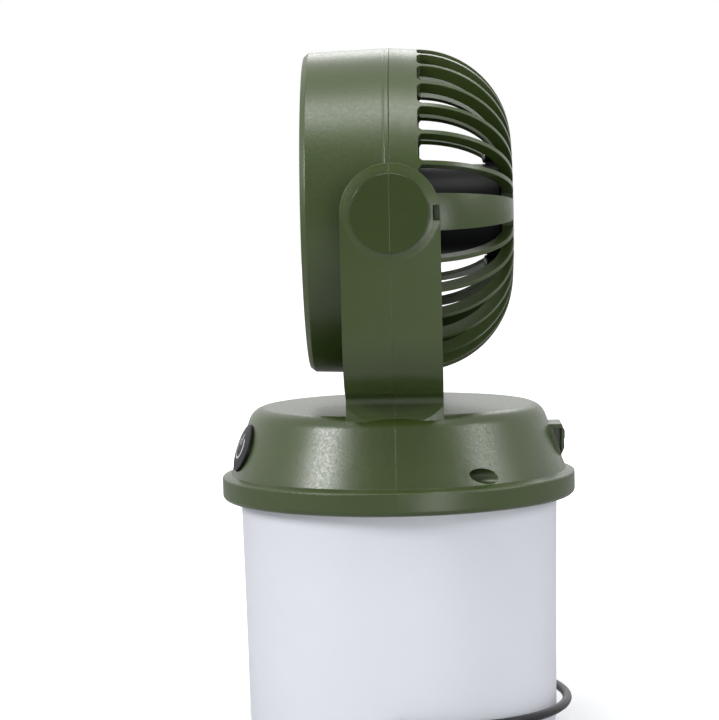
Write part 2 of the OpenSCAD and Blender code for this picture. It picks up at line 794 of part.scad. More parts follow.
// Posts in the dome that carry the charge socket's board
module socket_posts() for (s = [-1, 1])
  translate([56.5, s * 5, shelf_top - 0.5])
    cylinder(r = 2, h = port_z - socket_size[2] / 2 - socket_board[2] - shelf_top + 0.5, $fn = 32);

module button_posts() for (side = [-1, 1]) at_button(side) for (s = [-1, 1])
  translate([0, s * post_y, switch_board_z]) cylinder(r = post_r, h = -switch_board_z - 1, $fn = 32);

module button_holes() for (side = [-1, 1]) at_button(side) {
  translate([0, 0, -button_depth - 0.6]) cylinder(r = button_r + button_gap, h = 14, $fn = 96);
  intersection() {
    translate([0, 0, -8]) cylinder(r = button_flange_r + 0.3, h = 8 - button_seat, $fn = 96);
    translate([-30, -30, -button_depth - 0.8]) cube([30 + button_flat + 0.2, 60, 20]);
  }
}

module screw_towers() for (side = [-1, 1]) translate([0, side * well_y, well_z]) rotate([0, 90, 0])
  translate([0, 0, -14]) cylinder(r = well_r + boss_wall, h = 14 + 50, $fn = 48);

module screw_holes() for (side = [-1, 1]) translate([0, side * well_y, well_z]) rotate([0, 90, 0]) {
  translate([0, 0, well_floor]) cylinder(r = well_r, h = 80, $fn = 48);
  translate([0, 0, screw_tip - 1]) cylinder(r = screw_r, h = 40, $fn = 24);
}

module deck_bosses() for (a = [45 : 90 : 315]) rotate([0, 0, a])
  translate([deck_screw_r, 0, shelf_top - 0.5]) cylinder(r = 3, h = 5.5, $fn = 32);

module deck_holes() for (a = [45 : 90 : 315]) rotate([0, 0, a])
  translate([deck_screw_r, 0, shelf_low - 1]) cylinder(r = deck_screw_tip, h = deck_screw_len, $fn = 24);

// Ribs in the arms that the hub lugs stop against, centred straight below each pivot
module tilt_stops() both_pivots() translate([0, 0, arm_hollow - eps]) intersection() {
  pivot_down() hub_lug(lug_r + 0.6, stop_half, flange_in + flange_t - arm_hollow + 0.1);
  difference() {
    cylinder(r = lug_r + 0.6, h = 20);
    translate([0, 0, -1]) cylinder(r = flange_r + 0.3, h = 22);
  }
}

// Window at the rear edge of each arm's end, where the two shells snap together
module snap_windows() both_pivots() {
  translate([arm_r - 2.6, -3, arm_out - 4.6]) cube([4, 5.6, 8]);
}

// The whole yoke, dome and rim, before it is split at x = 0
module base_body() difference() {
  union() {
    difference() {
      union() {
        dome_solid();
        intersection() {
          arms(0);
          union() {
            // round below the waist, so that the foot's corners keep behind the shoulder
            translate([-100, -100, axis_z + waist_c()[1]]) cube([200, 200, 120]);
            cylinder(r = foot_r - 0.4, h = axis_z + waist_c()[1] + eps, $fn = 240);
          }
        }
        arm_discs();
        intersection() {
          port_boss();
          cylinder(r = 100, h = port_top);
        }
      }
      dome_room();
      arms(shell_wall);
      // the hollow of each arm opens into the dome
      for (side = [-1, 1]) translate([-arm_r + 4, side < 0 ? -bend_c[0] : bend_c[0] - 16, dome_top - 5])
        cube([arm_w - 8, 16, 8]);
    }
    intersection() {
      union() {
        button_posts();
        screw_towers();
        deck_bosses();
        socket_posts();
      }
      inner_limit();
    }
    tilt_stops();
  }
  for (side = [-1, 1]) at_pivot(side) translate([0, 0, arm_in - 5])
    cylinder(r = hub_r + run_gap, h = arm_hollow - arm_in + 5.1, $fn = 96);
  button_holes();
  screw_holes();
  deck_holes();
  port_cuts();
  snap_windows();
}

// Keeps what stands inside the dome from reaching through its wall
module inner_limit() rotate_extrude($fn = 120) polygon([
  [0, shelf_low],
  [dome_r - 0.8, shelf_low],
  [dome_r - 0.8, rim_top],
  [dome_r - 0.8 - dome_h * tan(dome_slope), dome_top - 1],
  [0, dome_top - 1]
]);

module base_front_shell() color(green) half(-1) base_body();

module base_rear_shell() color(green) half(1) base_body();

module shell_screws() color(steel) for (side = [-1, 1])
  translate([0, side * well_y, well_z]) rotate([0, 90, 0]) difference() {
    union() {
      translate([0, 0, screw_tip]) cylinder(r = screw_r, h = well_floor - screw_tip + eps, $fn = 24);
      translate([0, 0, well_floor]) cylinder(r = well_r - 0.4, h = 1.8, $fn = 32);
    }
    for (t = [0, 90]) rotate([0, 0, t])
      translate([-1.7, -0.35, well_floor + 0.8]) cube([3.4, 0.7, 2]);
  }

// ---------- leads ----------

// Two leads from the near pivot, along the solid band of the guard, to the motor
module head_leads() color("#1c1c1e") in_head() for (s = [-1, 1]) translate([s * lead_pitch, 0, 0]) {
  lead_y = guard_centre_r + lead_bend;
  translate([0, -lead_y, 0]) cylinder(r = lead_r, h = band_len, $fn = 24);
  translate([0, -lead_y, 0]) sphere(r = lead_r, $fn = 24);
  translate([0, -lead_y, 0]) rotate([90, 0, 0]) cylinder(r = lead_r, h = 2.6, $fn = 24);
  translate([0, -guard_centre_r, band_len]) rotate([0, 90, 0]) rotate([0, 0, 180])
    rotate_extrude(angle = 90, $fn = 96) translate([lead_bend, 0]) circle(lead_r, $fn = 24);
  translate([0, -guard_centre_r, lead_end_z]) rotate([-90, 0, 0])
    cylinder(r = lead_r, h = guard_centre_r - cover_r + 2.4, $fn = 24);
}

function route_n(i) = let (d = lead_route[i + 1] - lead_route[i]) [-d[1], d[0]] / norm(d);
function mitre(i) = i == 0 ? route_n(0) : i == len(lead_route) - 1 ? route_n(i - 1)
  : let (m = route_n(i - 1) + route_n(i)) m * 2 / (m * m);

// Flat two-core lead from the near pivot, down the hollow arm, to the main board
module base_leads() color("#1c1c1e") translate([0, 0, axis_z]) mirror([0, 1, 0]) rotate([90, 0, 90])
  translate([0, 0, -lead_pitch - lead_r]) linear_extrude(2 * (lead_pitch + lead_r)) polygon(concat(
    [for (i = [0 : len(lead_route) - 1]) lead_route[i] + mitre(i) * ribbon_t / 2],
    [for (i = [len(lead_route) - 1 : -1 : 0]) lead_route[i] - mitre(i) * ribbon_t / 2]
  ));

// ---------- controls ----------

module button(side) color(black) at_button(side) difference() {
  union() {
    intersection() {
      translate([0, 0, -button_depth]) cylinder(r = button_r, h = button_depth + 5);
      translate([0, 0, button_proud + button_crown - crown_sphere()]) sphere(r = crown_sphere(), $fn = 180);
    }
    intersection() {
      translate([0, 0, -button_depth]) cylinder(r = button_flange_r, h = button_flange_t);
      translate([-30, -30, -button_depth - 1]) cube([30 + button_flat, 60, 20]);
    }
    translate([0, 0, -button_depth - stem_len]) cylinder(r = 2.5, h = stem_len + eps, $fn = 48);
  }
}

// Radius of the sphere that gives the button's face its crown
function crown_sphere() = (button_r * button_r + button_crown * button_crown) / (2 * button_crown);

module fan_button() button(1);
module lamp_button() button(-1);

module button_switches() for (side = [-1, 1]) at_button(side) {
  color("#2d5a3a") translate([-5, -post_y - 1.4, switch_board_z - board_t])
    cube([10, 2 * post_y + 2.8, board_t]);
  color(black) translate([-3, -3, switch_board_z]) cube([6, 6, switch_h]);
  color(steel) translate([0, 0, switch_board_z + switch_h]) cylinder(r = 1.7, h = plunger_h, $fn = 32);
}

module charge_socket() {
  low = port_z - socket_size[2] / 2;
  color(steel) difference() {
    translate([socket_face - socket_size[0], -socket_size[1] / 2, low]) cube(socket_size);
    translate([socket_face - socket_size[0] + 1, -socket_size[1] / 2 + 0.4, low + 0.4])
      cube([socket_size[0], socket_size[1] - 0.8, socket_size[2] - 0.8]);
  }
  color("#2d5a3a") translate([socket_face - socket_board[0] - 2, -socket_board[1] / 2, low - socket_board[2]])
    cube(socket_board);
  color(black) translate([socket_face - socket_size[0] + 0.8, -3, port_z - 0.35]) cube([5, 6, 0.7]);
}

module port_cover() color(black) {
  translate([0, flap_w / 2, 0]) rotate([90, 0, 0]) linear_extrude(flap_w) union() {
    translate([port_x - flap_t, flap_low]) square([flap_t, flap_high - flap_low]);
    // round edge along the hinge
    translate(flap_hinge) circle(flap_t / 2, $fn = 48);
  }
  // pull tab
  translate([port_x - eps, -3.2, flap_high - 4]) cube([0.6, 6.4, 3.6]);
  // plug that fills the socket's mouth
  translate([socket_face - 0.1, -socket_size[1] / 2 + 0.6, port_z - socket_size[2] / 2 + 0.6])
    cube([0.4, socket_size[1] - 1.2, socket_size[2] - 1.2]);
}

// ---------- inside the dome ----------

module main_board() color("#2d5a3a") difference() {
  union() {
    translate([-main_board[0] / 2, -main_board[1] / 2, board_z]) cube(main_board);
    // tall parts on the board
    translate([-30, -18, board_z + main_board[2] - eps]) cube([9, 9, 1]);
    translate([14, 6, board_z + main_board[2] - eps]) cube([12, 8, 1]);
  }
  for (x = [-1, 1]) for (y = [-1, 1]) translate([x * tray_post[0], y * tray_post[1], board_z - 1])
    cylinder(r = 1, h = 4, $fn = 24);
}

module board_screws() color(steel) for (x = [-1, 1]) for (y = [-1, 1])
  translate([x * tray_post[0], y * tray_post[1], board_z + main_board[2]]) {
    cylinder(r = 1.9, h = 1.1, $fn = 32);
    translate([0, 0, -6]) cylinder(r = 1, h = 6 + eps, $fn = 24);
  }

module battery_cells() color("#2f6c9e") for (k = [-1 : 1])
  translate([-cell_len / 2, k * (2 * cell_r + cell_gap), cell_z]) rotate([0, 90, 0]) {
    cylinder(r = cell_r, h = cell_len);
    translate([0, 0, cell_len - eps]) cylinder(r = 3, h = 0.8, $fn = 32);
  }

module battery_tray() color("#2b2c2e") difference() {
  union() {
    translate([0, 0, shelf_low]) cylinder(r = tray_r, h = tray_t);
    for (x = [-22, 22]) translate([x - 1, -2 * cell_r - cell_gap, shelf_low])
      cube([2, 4 * cell_r + 2 * cell_gap, tray_t + 4]);
    for (x = [-1, 1]) for (y = [-1, 1]) translate([x * tray_post[0], y * tray_post[1], shelf_low])
      cylinder(r = 2.4, h = board_z - shelf_low, $fn = 32);
  }
  for (k = [-1 : 1]) translate([-cell_len / 2 - 2, k * (2 * cell_r + cell_gap), cell_z]) rotate([0, 90, 0])
    cylinder(r = cell_r, h = cell_len + 3);
  for (x = [-1, 1]) for (y = [-1, 1]) translate([x * tray_post[0], y * tray_post[1], board_z + main_board[2] - 6])
    cylinder(r = 1, h = 12, $fn = 24);
}

// ---------- lantern ----------

module lamp_deck() color("#e9e9e6") difference() {
  translate([0, 0, deck_low]) cylinder(r = deck_r, h = deck_t, $fn = 180);
  for (a = [45 : 90 : 315]) rotate([0, 0, a])
    translate([deck_screw_r, 0, deck_low - 1]) cylinder(r = deck_screw_tip + seat_gap, h = deck_t + 2, $fn = 24);
}

module deck_screws() color(steel) for (a = [45 : 90 : 315]) rotate([0, 0, a])
  translate([deck_screw_r, 0, deck_low]) {
    translate([0, 0, -deck_head_h]) cylinder(r = deck_head_r, h = deck_head_h, $fn = 32);
    cylinder(r = deck_screw_tip, h = deck_screw_len, $fn = 24);
  }

module lamp_board() color("#dfe3e6") translate([0, 0, deck_low - lamp_board_t])
  cylinder(r = lamp_board_r, h = lamp_board_t, $fn = 180);

module lamp_diodes() color("#f2d23c") {
  for (k = [0 : 23]) rotate([0, 0, k * 15]) diode_at(lamp_board_r - 6);
  for (k = [0 : 11]) rotate([0, 0, k * 30]) diode_at(lamp_board_r - 22);
}

module diode_at(r) translate([r - diode[0] / 2, -diode[1] / 2, deck_low - lamp_board_t - diode[2]]) cube(diode);

// White cone under the middle of the lamp board, open inside
module reflector_cone() color("#f2f2f0") translate([0, 0, deck_low - lamp_board_t]) rotate_extrude($fn = 120)
  polygon([[cone_r, 0], [cone_r, -1.2], [1.5, -cone_h], [0, -cone_h], [0, -cone_h + 1.6], [0.8, -cone_h + 1.6],
    [cone_r - 1.6, 0]]);

module diffuser_seal() color("#3a3b3d") translate([0, 0, diffuser_top]) difference() {
  cylinder(r = diffuser_r, h = shelf_low - diffuser_top, $fn = 180);
  translate([0, 0, -1]) cylinder(r = diffuser_r - diffuser_wall, h = 4, $fn = 180);
}

module diffuser_shape(inset) {
  r = diffuser_low_r - inset;
  rr = diffuser_round - inset;
  polygon([
    [0, diffuser_low + inset],
    [r - rr, diffuser_low + inset],
    [r - rr, diffuser_low + diffuser_round],
    [r, diffuser_low + diffuser_round],
    [diffuser_r - inset, diffuser_top + (inset > 0 ? 1 : 0)],
    [0, diffuser_top + (inset > 0 ? 1 : 0)]
  ]);
  intersection() {
    translate([r - rr, diffuser_low + diffuser_round]) circle(rr, $fn = 96);
    translate([r - rr - eps, diffuser_low]) square([rr + 1, diffuser_round + eps]);
  }
}

module diffuser() color("#e4e7ee") difference() {
  rotate_extrude($fn = 240) diffuser_shape(0);
  rotate_extrude($fn = 240) diffuser_shape(diffuser_wall);
  // recess for the foot pad
  translate([0, 0, -1]) cylinder(r = foot_pad_r + seat_gap, h = 1 + diffuser_low + foot_groove, $fn = 180);
  for (side = [-1, 1]) translate([0, 0, bail_z]) rotate([-90 * side, 0, 0])
    translate([0, 0, bush_in - 2]) cylinder(r = bush_r, h = 20, $fn = 64);
}

module foot_pad() color(black) cylinder(r = foot_pad_r, h = diffuser_low + foot_groove, $fn = 180);

// ---------- bail ----------

// Bushes set in the diffuser's wall, flush outside and flanged inside
module bail_bushes() color(black) for (side = [-1, 1]) translate([0, 0, bail_z]) rotate([-90 * side, 0, 0])
  difference() {
    intersection() {
      union() {
        translate([0, 0, bush_in]) cylinder(r = bush_r, h = 12, $fn = 64);
        translate([0, 0, bush_in]) cylinder(r = bush_flange_r, h = bush_flange_t, $fn = 64);
      }
      rotate([90 * side, 0, 0]) translate([0, 0, -20]) cylinder(r = diffuser_low_r + 0.15, h = 40, $fn = 180);
    }
    translate([0, 0, bush_in - 1]) cylinder(r = wire_r + run_gap, h = 20, $fn = 48);
  }

module bail_wire() color(black) translate([0, 0, bail_z]) rotate([0, bail_droop, 0]) {
  rotate([0, 0, -90]) rotate_extrude(angle = 180, $fn = 180)
    translate([bail_r, 0]) circle(wire_r, $fn = 48);
  for (side = [-1, 1]) {
    translate([0, side * bail_r, 0]) sphere(r = knuckle_r, $fn = 48);
    rotate([-90 * side, 0, 0]) translate([0, 0, bush_in + 0.5])
      cylinder(r = wire_r, h = bail_r - bush_in - 0.5, $fn = 48);
  }
}

head_front_housing();
front_guard();
guard_badge();
head_rear_housing();
motor_cover();
cover_screws();
motor_can();
motor_bearing();
motor_shaft();
impeller();
impeller_nut();
pivot_hubs();
friction_washers();
head_leads();
base_front_shell();
base_rear_shell();
shell_screws();
base_leads();
fan_button();
lamp_button();
button_switches();
charge_socket();
port_cover();
main_board();
board_screws();
battery_cells();
battery_tray();
lamp_deck();
deck_screws();
lamp_board();
lamp_diodes();
reflector_cone();
diffuser_seal();
diffuser();
foot_pad();
bail_bushes();
bail_wire();
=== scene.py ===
# %% [markdown]
# A small fan sits in a two-armed yoke on top of a lantern. This lesson dresses its CAD model for
# a picture. The CAD pieces are the fixed frame: they already have the right size and place, so
# here they get finer shapes, soft edges and finishes, and nothing is moved.

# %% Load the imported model
import json
import math
import bmesh
import bpy
from mathutils import Matrix, Vector

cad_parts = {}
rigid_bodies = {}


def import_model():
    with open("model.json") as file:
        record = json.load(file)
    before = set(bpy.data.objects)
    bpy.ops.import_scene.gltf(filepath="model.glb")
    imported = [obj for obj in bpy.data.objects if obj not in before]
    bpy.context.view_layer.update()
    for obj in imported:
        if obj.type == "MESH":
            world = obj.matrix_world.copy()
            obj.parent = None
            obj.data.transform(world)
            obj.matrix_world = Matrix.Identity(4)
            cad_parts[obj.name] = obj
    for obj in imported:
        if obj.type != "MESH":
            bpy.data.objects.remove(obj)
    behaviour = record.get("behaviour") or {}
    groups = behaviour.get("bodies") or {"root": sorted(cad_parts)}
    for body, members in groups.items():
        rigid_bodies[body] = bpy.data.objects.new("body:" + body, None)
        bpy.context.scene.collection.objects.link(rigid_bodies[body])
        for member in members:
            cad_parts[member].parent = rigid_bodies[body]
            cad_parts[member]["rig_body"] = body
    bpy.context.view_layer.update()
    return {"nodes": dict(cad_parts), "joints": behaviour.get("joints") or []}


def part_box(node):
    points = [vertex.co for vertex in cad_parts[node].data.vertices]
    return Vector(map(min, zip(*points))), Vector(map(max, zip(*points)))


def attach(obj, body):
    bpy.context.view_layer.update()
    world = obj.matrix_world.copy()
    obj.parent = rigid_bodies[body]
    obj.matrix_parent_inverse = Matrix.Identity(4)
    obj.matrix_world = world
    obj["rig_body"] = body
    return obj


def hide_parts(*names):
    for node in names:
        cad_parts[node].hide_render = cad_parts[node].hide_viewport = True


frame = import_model()
nodes = frame["nodes"]

# %% [markdown]
# The sizes of the CAD model are in millimetres and Blender works in metres. Two small values keep
# the numbers below readable. The tilt axis comes from the model's own joint, so it can't drift.

# %% Units and the tilt axis
MM = 0.001
tilt = next(j for j in frame["joints"] if j["name"] == "head_tilt")
axis_z = tilt["pos_m"][2] / MM
# The head is turned on a lathe about Z, then laid down so that Z becomes the lamp's +X
HEAD = Matrix.Translation((0, 0, axis_z)) @ Matrix.Rotation(math.radians(90), 4, "Y")
BASE = Matrix.Identity(4)
print("tilt axis at", round(axis_z, 1), "mm")

# %% [markdown]
# The photograph was taken from about a metre away with a long lens, a little above the lamp's
# middle. A camera is only a point, three directions and a lens, so those are written out: where it
# stands in metres, how far it turns to the side, looks down and leans, and how many pixels of the
# picture its lens is long.

# %% Camera
photo_width, lens_pixels = 719, 2382.4
sensor_mm = 36
camera_x, camera_y, camera_z = 0.015075, -0.94436, (axis_z + 9.04) * MM
turn, down, lean = (math.radians(a) for a in (-1.796, -4.105, 1.291))
look = Vector((math.sin(turn) * math.cos(down), math.cos(turn) * math.cos(down), math.sin(down)))
right = Vector((math.cos(turn), -math.sin(turn), 0))
over = right.cross(look)
image_right = right * math.cos(lean) - over * math.sin(lean)
image_up = right * math.sin(lean) + over * math.cos(lean)
camera_data = bpy.data.cameras.new("photo_camera")
camera_data.sensor_fit = "HORIZONTAL"
camera_data.sensor_width = sensor_mm
camera_data.lens = sensor_mm * lens_pixels / photo_width
camera_data.clip_start, camera_data.clip_end = 0.05, 20
camera = bpy.data.objects.new("photo_camera", camera_data)
bpy.context.scene.collection.objects.link(camera)
camera.matrix_world = Matrix((
    (image_right.x, image_up.x, -look.x, camera_x),
    (image_right.y, image_up.y, -look.y, camera_y),
    (image_right.z, image_up.z, -look.z, camera_z),
    (0, 0, 0, 1)))
bpy.context.scene.camera = camera
print("lens in mm:", round(camera_data.lens, 2))

# %% [markdown]
# A product picture like this has a white sweep of paper and big soft lights. The paper is white to
# the camera by its own colour, and it still darkens where the lamp stands on it. The lights are
# panels: the strongest from the left front, one above, one from the right, a low one in front and a
# weak one high behind. They draw the broad, soft-edged sheen on the curved plastic.

# %% Studio
scene = bpy.context.scene
scene.view_settings.view_transform = "Standard"


def link(tree, a, b):
    tree.links.new(a, b)


def add(tree, kind, choices=None, **inputs):
    """A new node with its choices made and some inputs set, each to a value or to an output that is
    linked to it. An input goes by its name, with _ for a space, or by its number, such as _0."""
    node = tree.nodes.new(kind)
    for name, value in (choices or {}).items():
        setattr(node, name, value)
    for name, value in inputs.items():
        socket = node.inputs[int(name[1:])] if name[0] == "_" else node.inputs[name.replace("_", " ")]
        if isinstance(value, bpy.types.NodeSocket):
            link(tree, value, socket)
        else:
            socket.default_value = value
    return node


def maths(tree, operation, *values):
    """The result of a Math node."""
    return add(tree, "ShaderNodeMath", {"operation": operation},
               **{"_%d" % i: v for i, v in enumerate(values)}).outputs[0]


def seen_directly(tree):
    """1 for rays that should see the backdrop as plain white: camera, mirror-like and clear ones."""
    rays = add(tree, "ShaderNodeLightPath").outputs
    first = maths(tree, "MAXIMUM", rays["Is Camera Ray"], rays["Is Glossy Ray"])
    return maths(tree, "MAXIMUM", first, rays["Is Transmission Ray"])


world = bpy.data.worlds.new("white_room")
scene.world = world
world.use_nodes = True
room = world.node_tree
room.nodes.clear()
fill = add(room, "ShaderNodeBackground", Color=(0.96, 0.98, 1.0, 1), Strength=0.37)
# The room is white all round the lamp, but mirror-like rays find it dim behind the camera
direction = add(room, "ShaderNodeSeparateXYZ", Vector=add(room, "ShaderNodeTexCoord").outputs["Generated"])
dim = add(room, "ShaderNodeMapRange", Value=direction.outputs["Y"], **{
    "From_Min": -0.95, "From_Max": 0.0, "To_Min": 0.75, "To_Max": 0.0}).outputs["Result"]
mirrored = add(room, "ShaderNodeLightPath").outputs["Is Glossy Ray"]
paleness = maths(room, "SUBTRACT", 1.0, maths(room, "MULTIPLY", mirrored, dim))
white = add(room, "ShaderNodeBackground", Color=(1, 1, 1, 1), Strength=paleness)
pick = add(room, "ShaderNodeMixShader", _0=seen_directly(room), _1=fill.outputs[0], _2=white.outputs[0])
add(room, "ShaderNodeOutputWorld", Surface=pick.outputs[0])


def panel(name, place, aim, size, power):
    """A soft rectangular light: place, aim and size in metres, power in watts."""
    data = bpy.data.lights.new(name, "AREA")
    data.shape = "RECTANGLE"
    data.size, data.size_y = size
    data.energy = power
    lamp = bpy.data.objects.new(name, data)
    scene.collection.objects.link(lamp)
    lamp.rotation_euler = (Vector(aim) - Vector(place)).to_track_quat("-Z", "Y").to_euler()
    lamp.location = place


panel("left_panel", (-0.84, -0.56, 0.66), (0, 0, 0.12), (0.34, 0.34), 7.4)
panel("top_panel", (0.0, -0.28, 1.10), (0, 0, 0.2), (0.7, 0.36), 4.4)
panel("right_panel", (0.99, -0.40, 0.67), (0, 0, 0.12), (0.46, 0.4), 3.9)
panel("front_panel", (0.45, -1.0, 0.10), (0, 0, 0.13), (0.4, 0.3), 2.5)
panel("back_panel", (0.1, 1.05, 0.85), (0, 0, 0.14), (0.7, 0.4), 2.6)

# %% [markdown]
# The floor is one sheet of white paper. Close to the lamp it is lit like any paper, so the lamp
# keeps its shadow. Farther off it gets a glow of its own that carries it to plain white, so the
# picture shows no horizon line. Mirror-like rays meet a greyer sheet with little glow, and what it
# throws back at the lamp is weaker too, or the plastic would be washed out from below.

# %% Floor
floor_mesh = bpy.data.meshes.new("paper_sweep")
far = 6
floor_mesh.from_pydata([(-far, -far, 0), (far, -far, 0), (far, far, 0), (-far, far, 0)], [], [(0, 1, 2, 3)])
floor = bpy.data.objects.new("paper_sweep", floor_mesh)
scene.collection.objects.link(floor)
paper = bpy.data.materials.new("white_paper")
paper.use_nodes = True
sheet = paper.node_tree
sheet.nodes.clear()
away = add(sheet, "ShaderNodeVectorMath", {"operation": "LENGTH"},
           _0=add(sheet, "ShaderNodeTexCoord").outputs["Object"])
spread = add(sheet, "ShaderNodeMapRange", Value=away.outputs["Value"], **{
    "From_Min": 0.08, "From_Max": 0.30, "To_Min": 0.3, "To_Max": 1.0}).outputs["Result"]
# mirror-like rays get a tenth of the glow, which with the lit paper would be brighter than white
mirrored = add(sheet, "ShaderNodeLightPath").outputs["Is Glossy Ray"]
glow_share = maths(sheet, "SUBTRACT", 1.0, maths(sheet, "MULTIPLY", mirrored, 0.9))
glow = maths(sheet, "MULTIPLY", spread, glow_share)
paper_tone = add(sheet, "ShaderNodeMix", {"data_type": "RGBA"}, _0=mirrored, _6=(0.82, 0.82, 0.83, 1),
                 _7=(0.5, 0.5, 0.5, 1))
matt = add(sheet, "ShaderNodeBsdfDiffuse", Color=paper_tone.outputs[2])
bright = add(sheet, "ShaderNodeEmission", Strength=glow)
lit = add(sheet, "ShaderNodeAddShader", _0=matt.outputs[0], _1=bright.outputs[0])
# what the paper throws back at the lamp is weaker than the white that the camera sees
bounce = add(sheet, "ShaderNodeBsdfDiffuse", Color=(0.42, 0.42, 0.43, 1))
choice = add(sheet, "ShaderNodeMixShader", _0=seen_directly(sheet), _1=bounce.outputs[0],
             _2=lit.outputs[0])
add(sheet, "ShaderNodeOutputMaterial", Surface=choice.outputs[0])
floor_mesh.materials.append(paper)
print("floor at z = 0")

# %% [markdown]
# Moulded plastic isn't one flat colour. Its mould was spark-eroded, so it has a very fine grain
# that breaks a highlight into specks, and its colour drifts a little where the plastic flowed. No
# moulded edge is razor sharp either: the Bevel node rounds the shading of each edge by a fraction
# of a millimetre. Deep slots and corners get painted shade: the Ambient Occlusion node darkens the
# colour there. One recipe with a few numbers makes every plastic, rubber and metal here.


# %% A recipe for finishes
def colour_of(red, green, blue):
    """The linear colour of an sRGB value from 0 to 255."""
    return tuple((c / 255 / 12.92) if c <= 10 else ((c / 255 + 0.055) / 1.055) ** 2.4
                 for c in (red, green, blue)) + (1,)


def finish_of(name, colour, rough, grain=0.25, depth=0.02, drift=0.06, cloud=22, metal=0.0,
              stretch=(1, 1, 1), spread=0.06, gloss=0.5, edge=0.0, shade=0.0, slot_depth=7):
    """A Principled material. grain is the size of the surface specks in mm, depth their height in
    mm, drift how far the colour wanders, cloud the size in mm of its patches, stretch how the
    specks are squeezed along each axis, spread how far the roughness wanders, gloss the strength
    of the reflection, edge the radius in mm that the Bevel node gives each edge, and shade how
    much the colour is darkened as painted shade in a corner or slot, felt out to slot_depth in mm."""
    material = bpy.data.materials.new(name)
    material.use_nodes = True
    tree = material.node_tree
    tree.nodes.clear()
    shader = add(tree, "ShaderNodeBsdfPrincipled", Metallic=metal)
    shader.inputs["Specular IOR Level"].default_value = gloss
    add(tree, "ShaderNodeOutputMaterial", Surface=shader.outputs["BSDF"])
    where = add(tree, "ShaderNodeMapping", Scale=stretch,
                Vector=add(tree, "ShaderNodeTexCoord").outputs["Object"]).outputs["Vector"]
    patches = add(tree, "ShaderNodeTexNoise", Scale=1000 / cloud, Detail=3, Vector=where)
    tint = add(tree, "ShaderNodeValToRGB", Fac=patches.outputs["Fac"])
    ends = tint.color_ramp.elements
    ends[0].position, ends[1].position = 0.3, 0.7
    ends[0].color = [c * (1 - drift) for c in colour[:3]] + [1]
    ends[1].color = [min(1, c * (1 + drift)) for c in colour[:3]] + [1]
    link(tree, tint.outputs["Color"], shader.inputs["Base Color"])
    if shade > 0:
        # painted shade: the Ambient Occlusion node darkens the base colour in corners and slots
        corners = add(tree, "ShaderNodeAmbientOcclusion", Distance=slot_depth * MM)
        corners.samples = 6
        painted_shade_mix = add(tree, "ShaderNodeMix", {"data_type": "RGBA", "blend_type": "MULTIPLY"}, _0=shade)
        link(tree, tint.outputs["Color"], painted_shade_mix.inputs[6])
        link(tree, corners.outputs["Color"], painted_shade_mix.inputs[7])
        link(tree, painted_shade_mix.outputs[2], shader.inputs["Base Color"])
    specks = add(tree, "ShaderNodeTexNoise", Scale=500 / grain, Detail=2, Vector=where)
    shine = add(tree, "ShaderNodeMapRange", Value=specks.outputs["Fac"], **{
        "From_Min": 0.3, "From_Max": 0.7,
        "To_Min": max(0.02, rough - spread), "To_Max": min(1.0, rough + spread)})
    link(tree, shine.outputs["Result"], shader.inputs["Roughness"])
    bump = add(tree, "ShaderNodeBump", Strength=1.0, Distance=depth * MM, Height=specks.outputs["Fac"])
    link(tree, bump.outputs["Normal"], shader.inputs["Normal"])
    if edge > 0:
        round_edge = add(tree, "ShaderNodeBevel", Radius=edge * MM)
        round_edge.samples = 4
        link(tree, round_edge.outputs["Normal"], bump.inputs["Normal"])
    return material


def shader_of(material):
    """A material's Principled node."""
    return next(n for n in material.node_tree.nodes if n.type == "BSDF_PRINCIPLED")


def polish_and_shade_discs(material, rough, disc_shade_factor, beyond=78.0):
    """Makes the raised discs at the pivots shinier than the plastic round them, and darkens their
    colour as painted shade for their dim reflection. They are all that lies beyond so many mm from the
    lamp's middle."""
    tree = material.node_tree
    side = add(tree, "ShaderNodeSeparateXYZ", Vector=add(tree, "ShaderNodeTexCoord").outputs["Object"])
    outward = maths(tree, "ABSOLUTE", side.outputs["Y"])
    on_disc = maths(tree, "GREATER_THAN", outward, beyond * MM)
    socket = shader_of(material).inputs["Roughness"]
    both = add(tree, "ShaderNodeMix", _0=on_disc)
    link(tree, socket.links[0].from_socket, both.inputs["A"])
    both.inputs["B"].default_value = rough
    link(tree, both.outputs["Result"], socket)
    # painted shade: the colour on the discs is multiplied down, to stand in for their dim reflection
    socket = shader_of(material).inputs["Base Color"]
    painted_disc_shade = add(tree, "ShaderNodeMix", {"data_type": "RGBA", "blend_type": "MULTIPLY"}, _0=on_disc)
    link(tree, socket.links[0].from_socket, painted_disc_shade.inputs[6])
    painted_disc_shade.inputs[7].default_value = (disc_shade_factor, disc_shade_factor, disc_shade_factor, 1)
    link(tree, painted_disc_shade.outputs[2], socket)


# %% [markdown]
# Nearly all of the lamp that shows is one olive plastic, so it gets the most care: a weak clear coat
# over the grain keeps a broad sheen without losing the specks, and the discs at the pivots are
# polished and get painted shade, a darkened colour. The black plastic has a weak reflection, or it would
# look grey beside the green.

# %% The lamp's finishes
# the green gets painted shade in its corners and slots, from shade=0.5
green = finish_of("olive_plastic", colour_of(52, 67, 23), 0.35, grain=0.5, depth=0.02, drift=0.05,
                  gloss=0.6, edge=0.5, shade=0.5)
shader_of(green).inputs["Coat Weight"].default_value = 0.12
shader_of(green).inputs["Coat Roughness"].default_value = 0.3
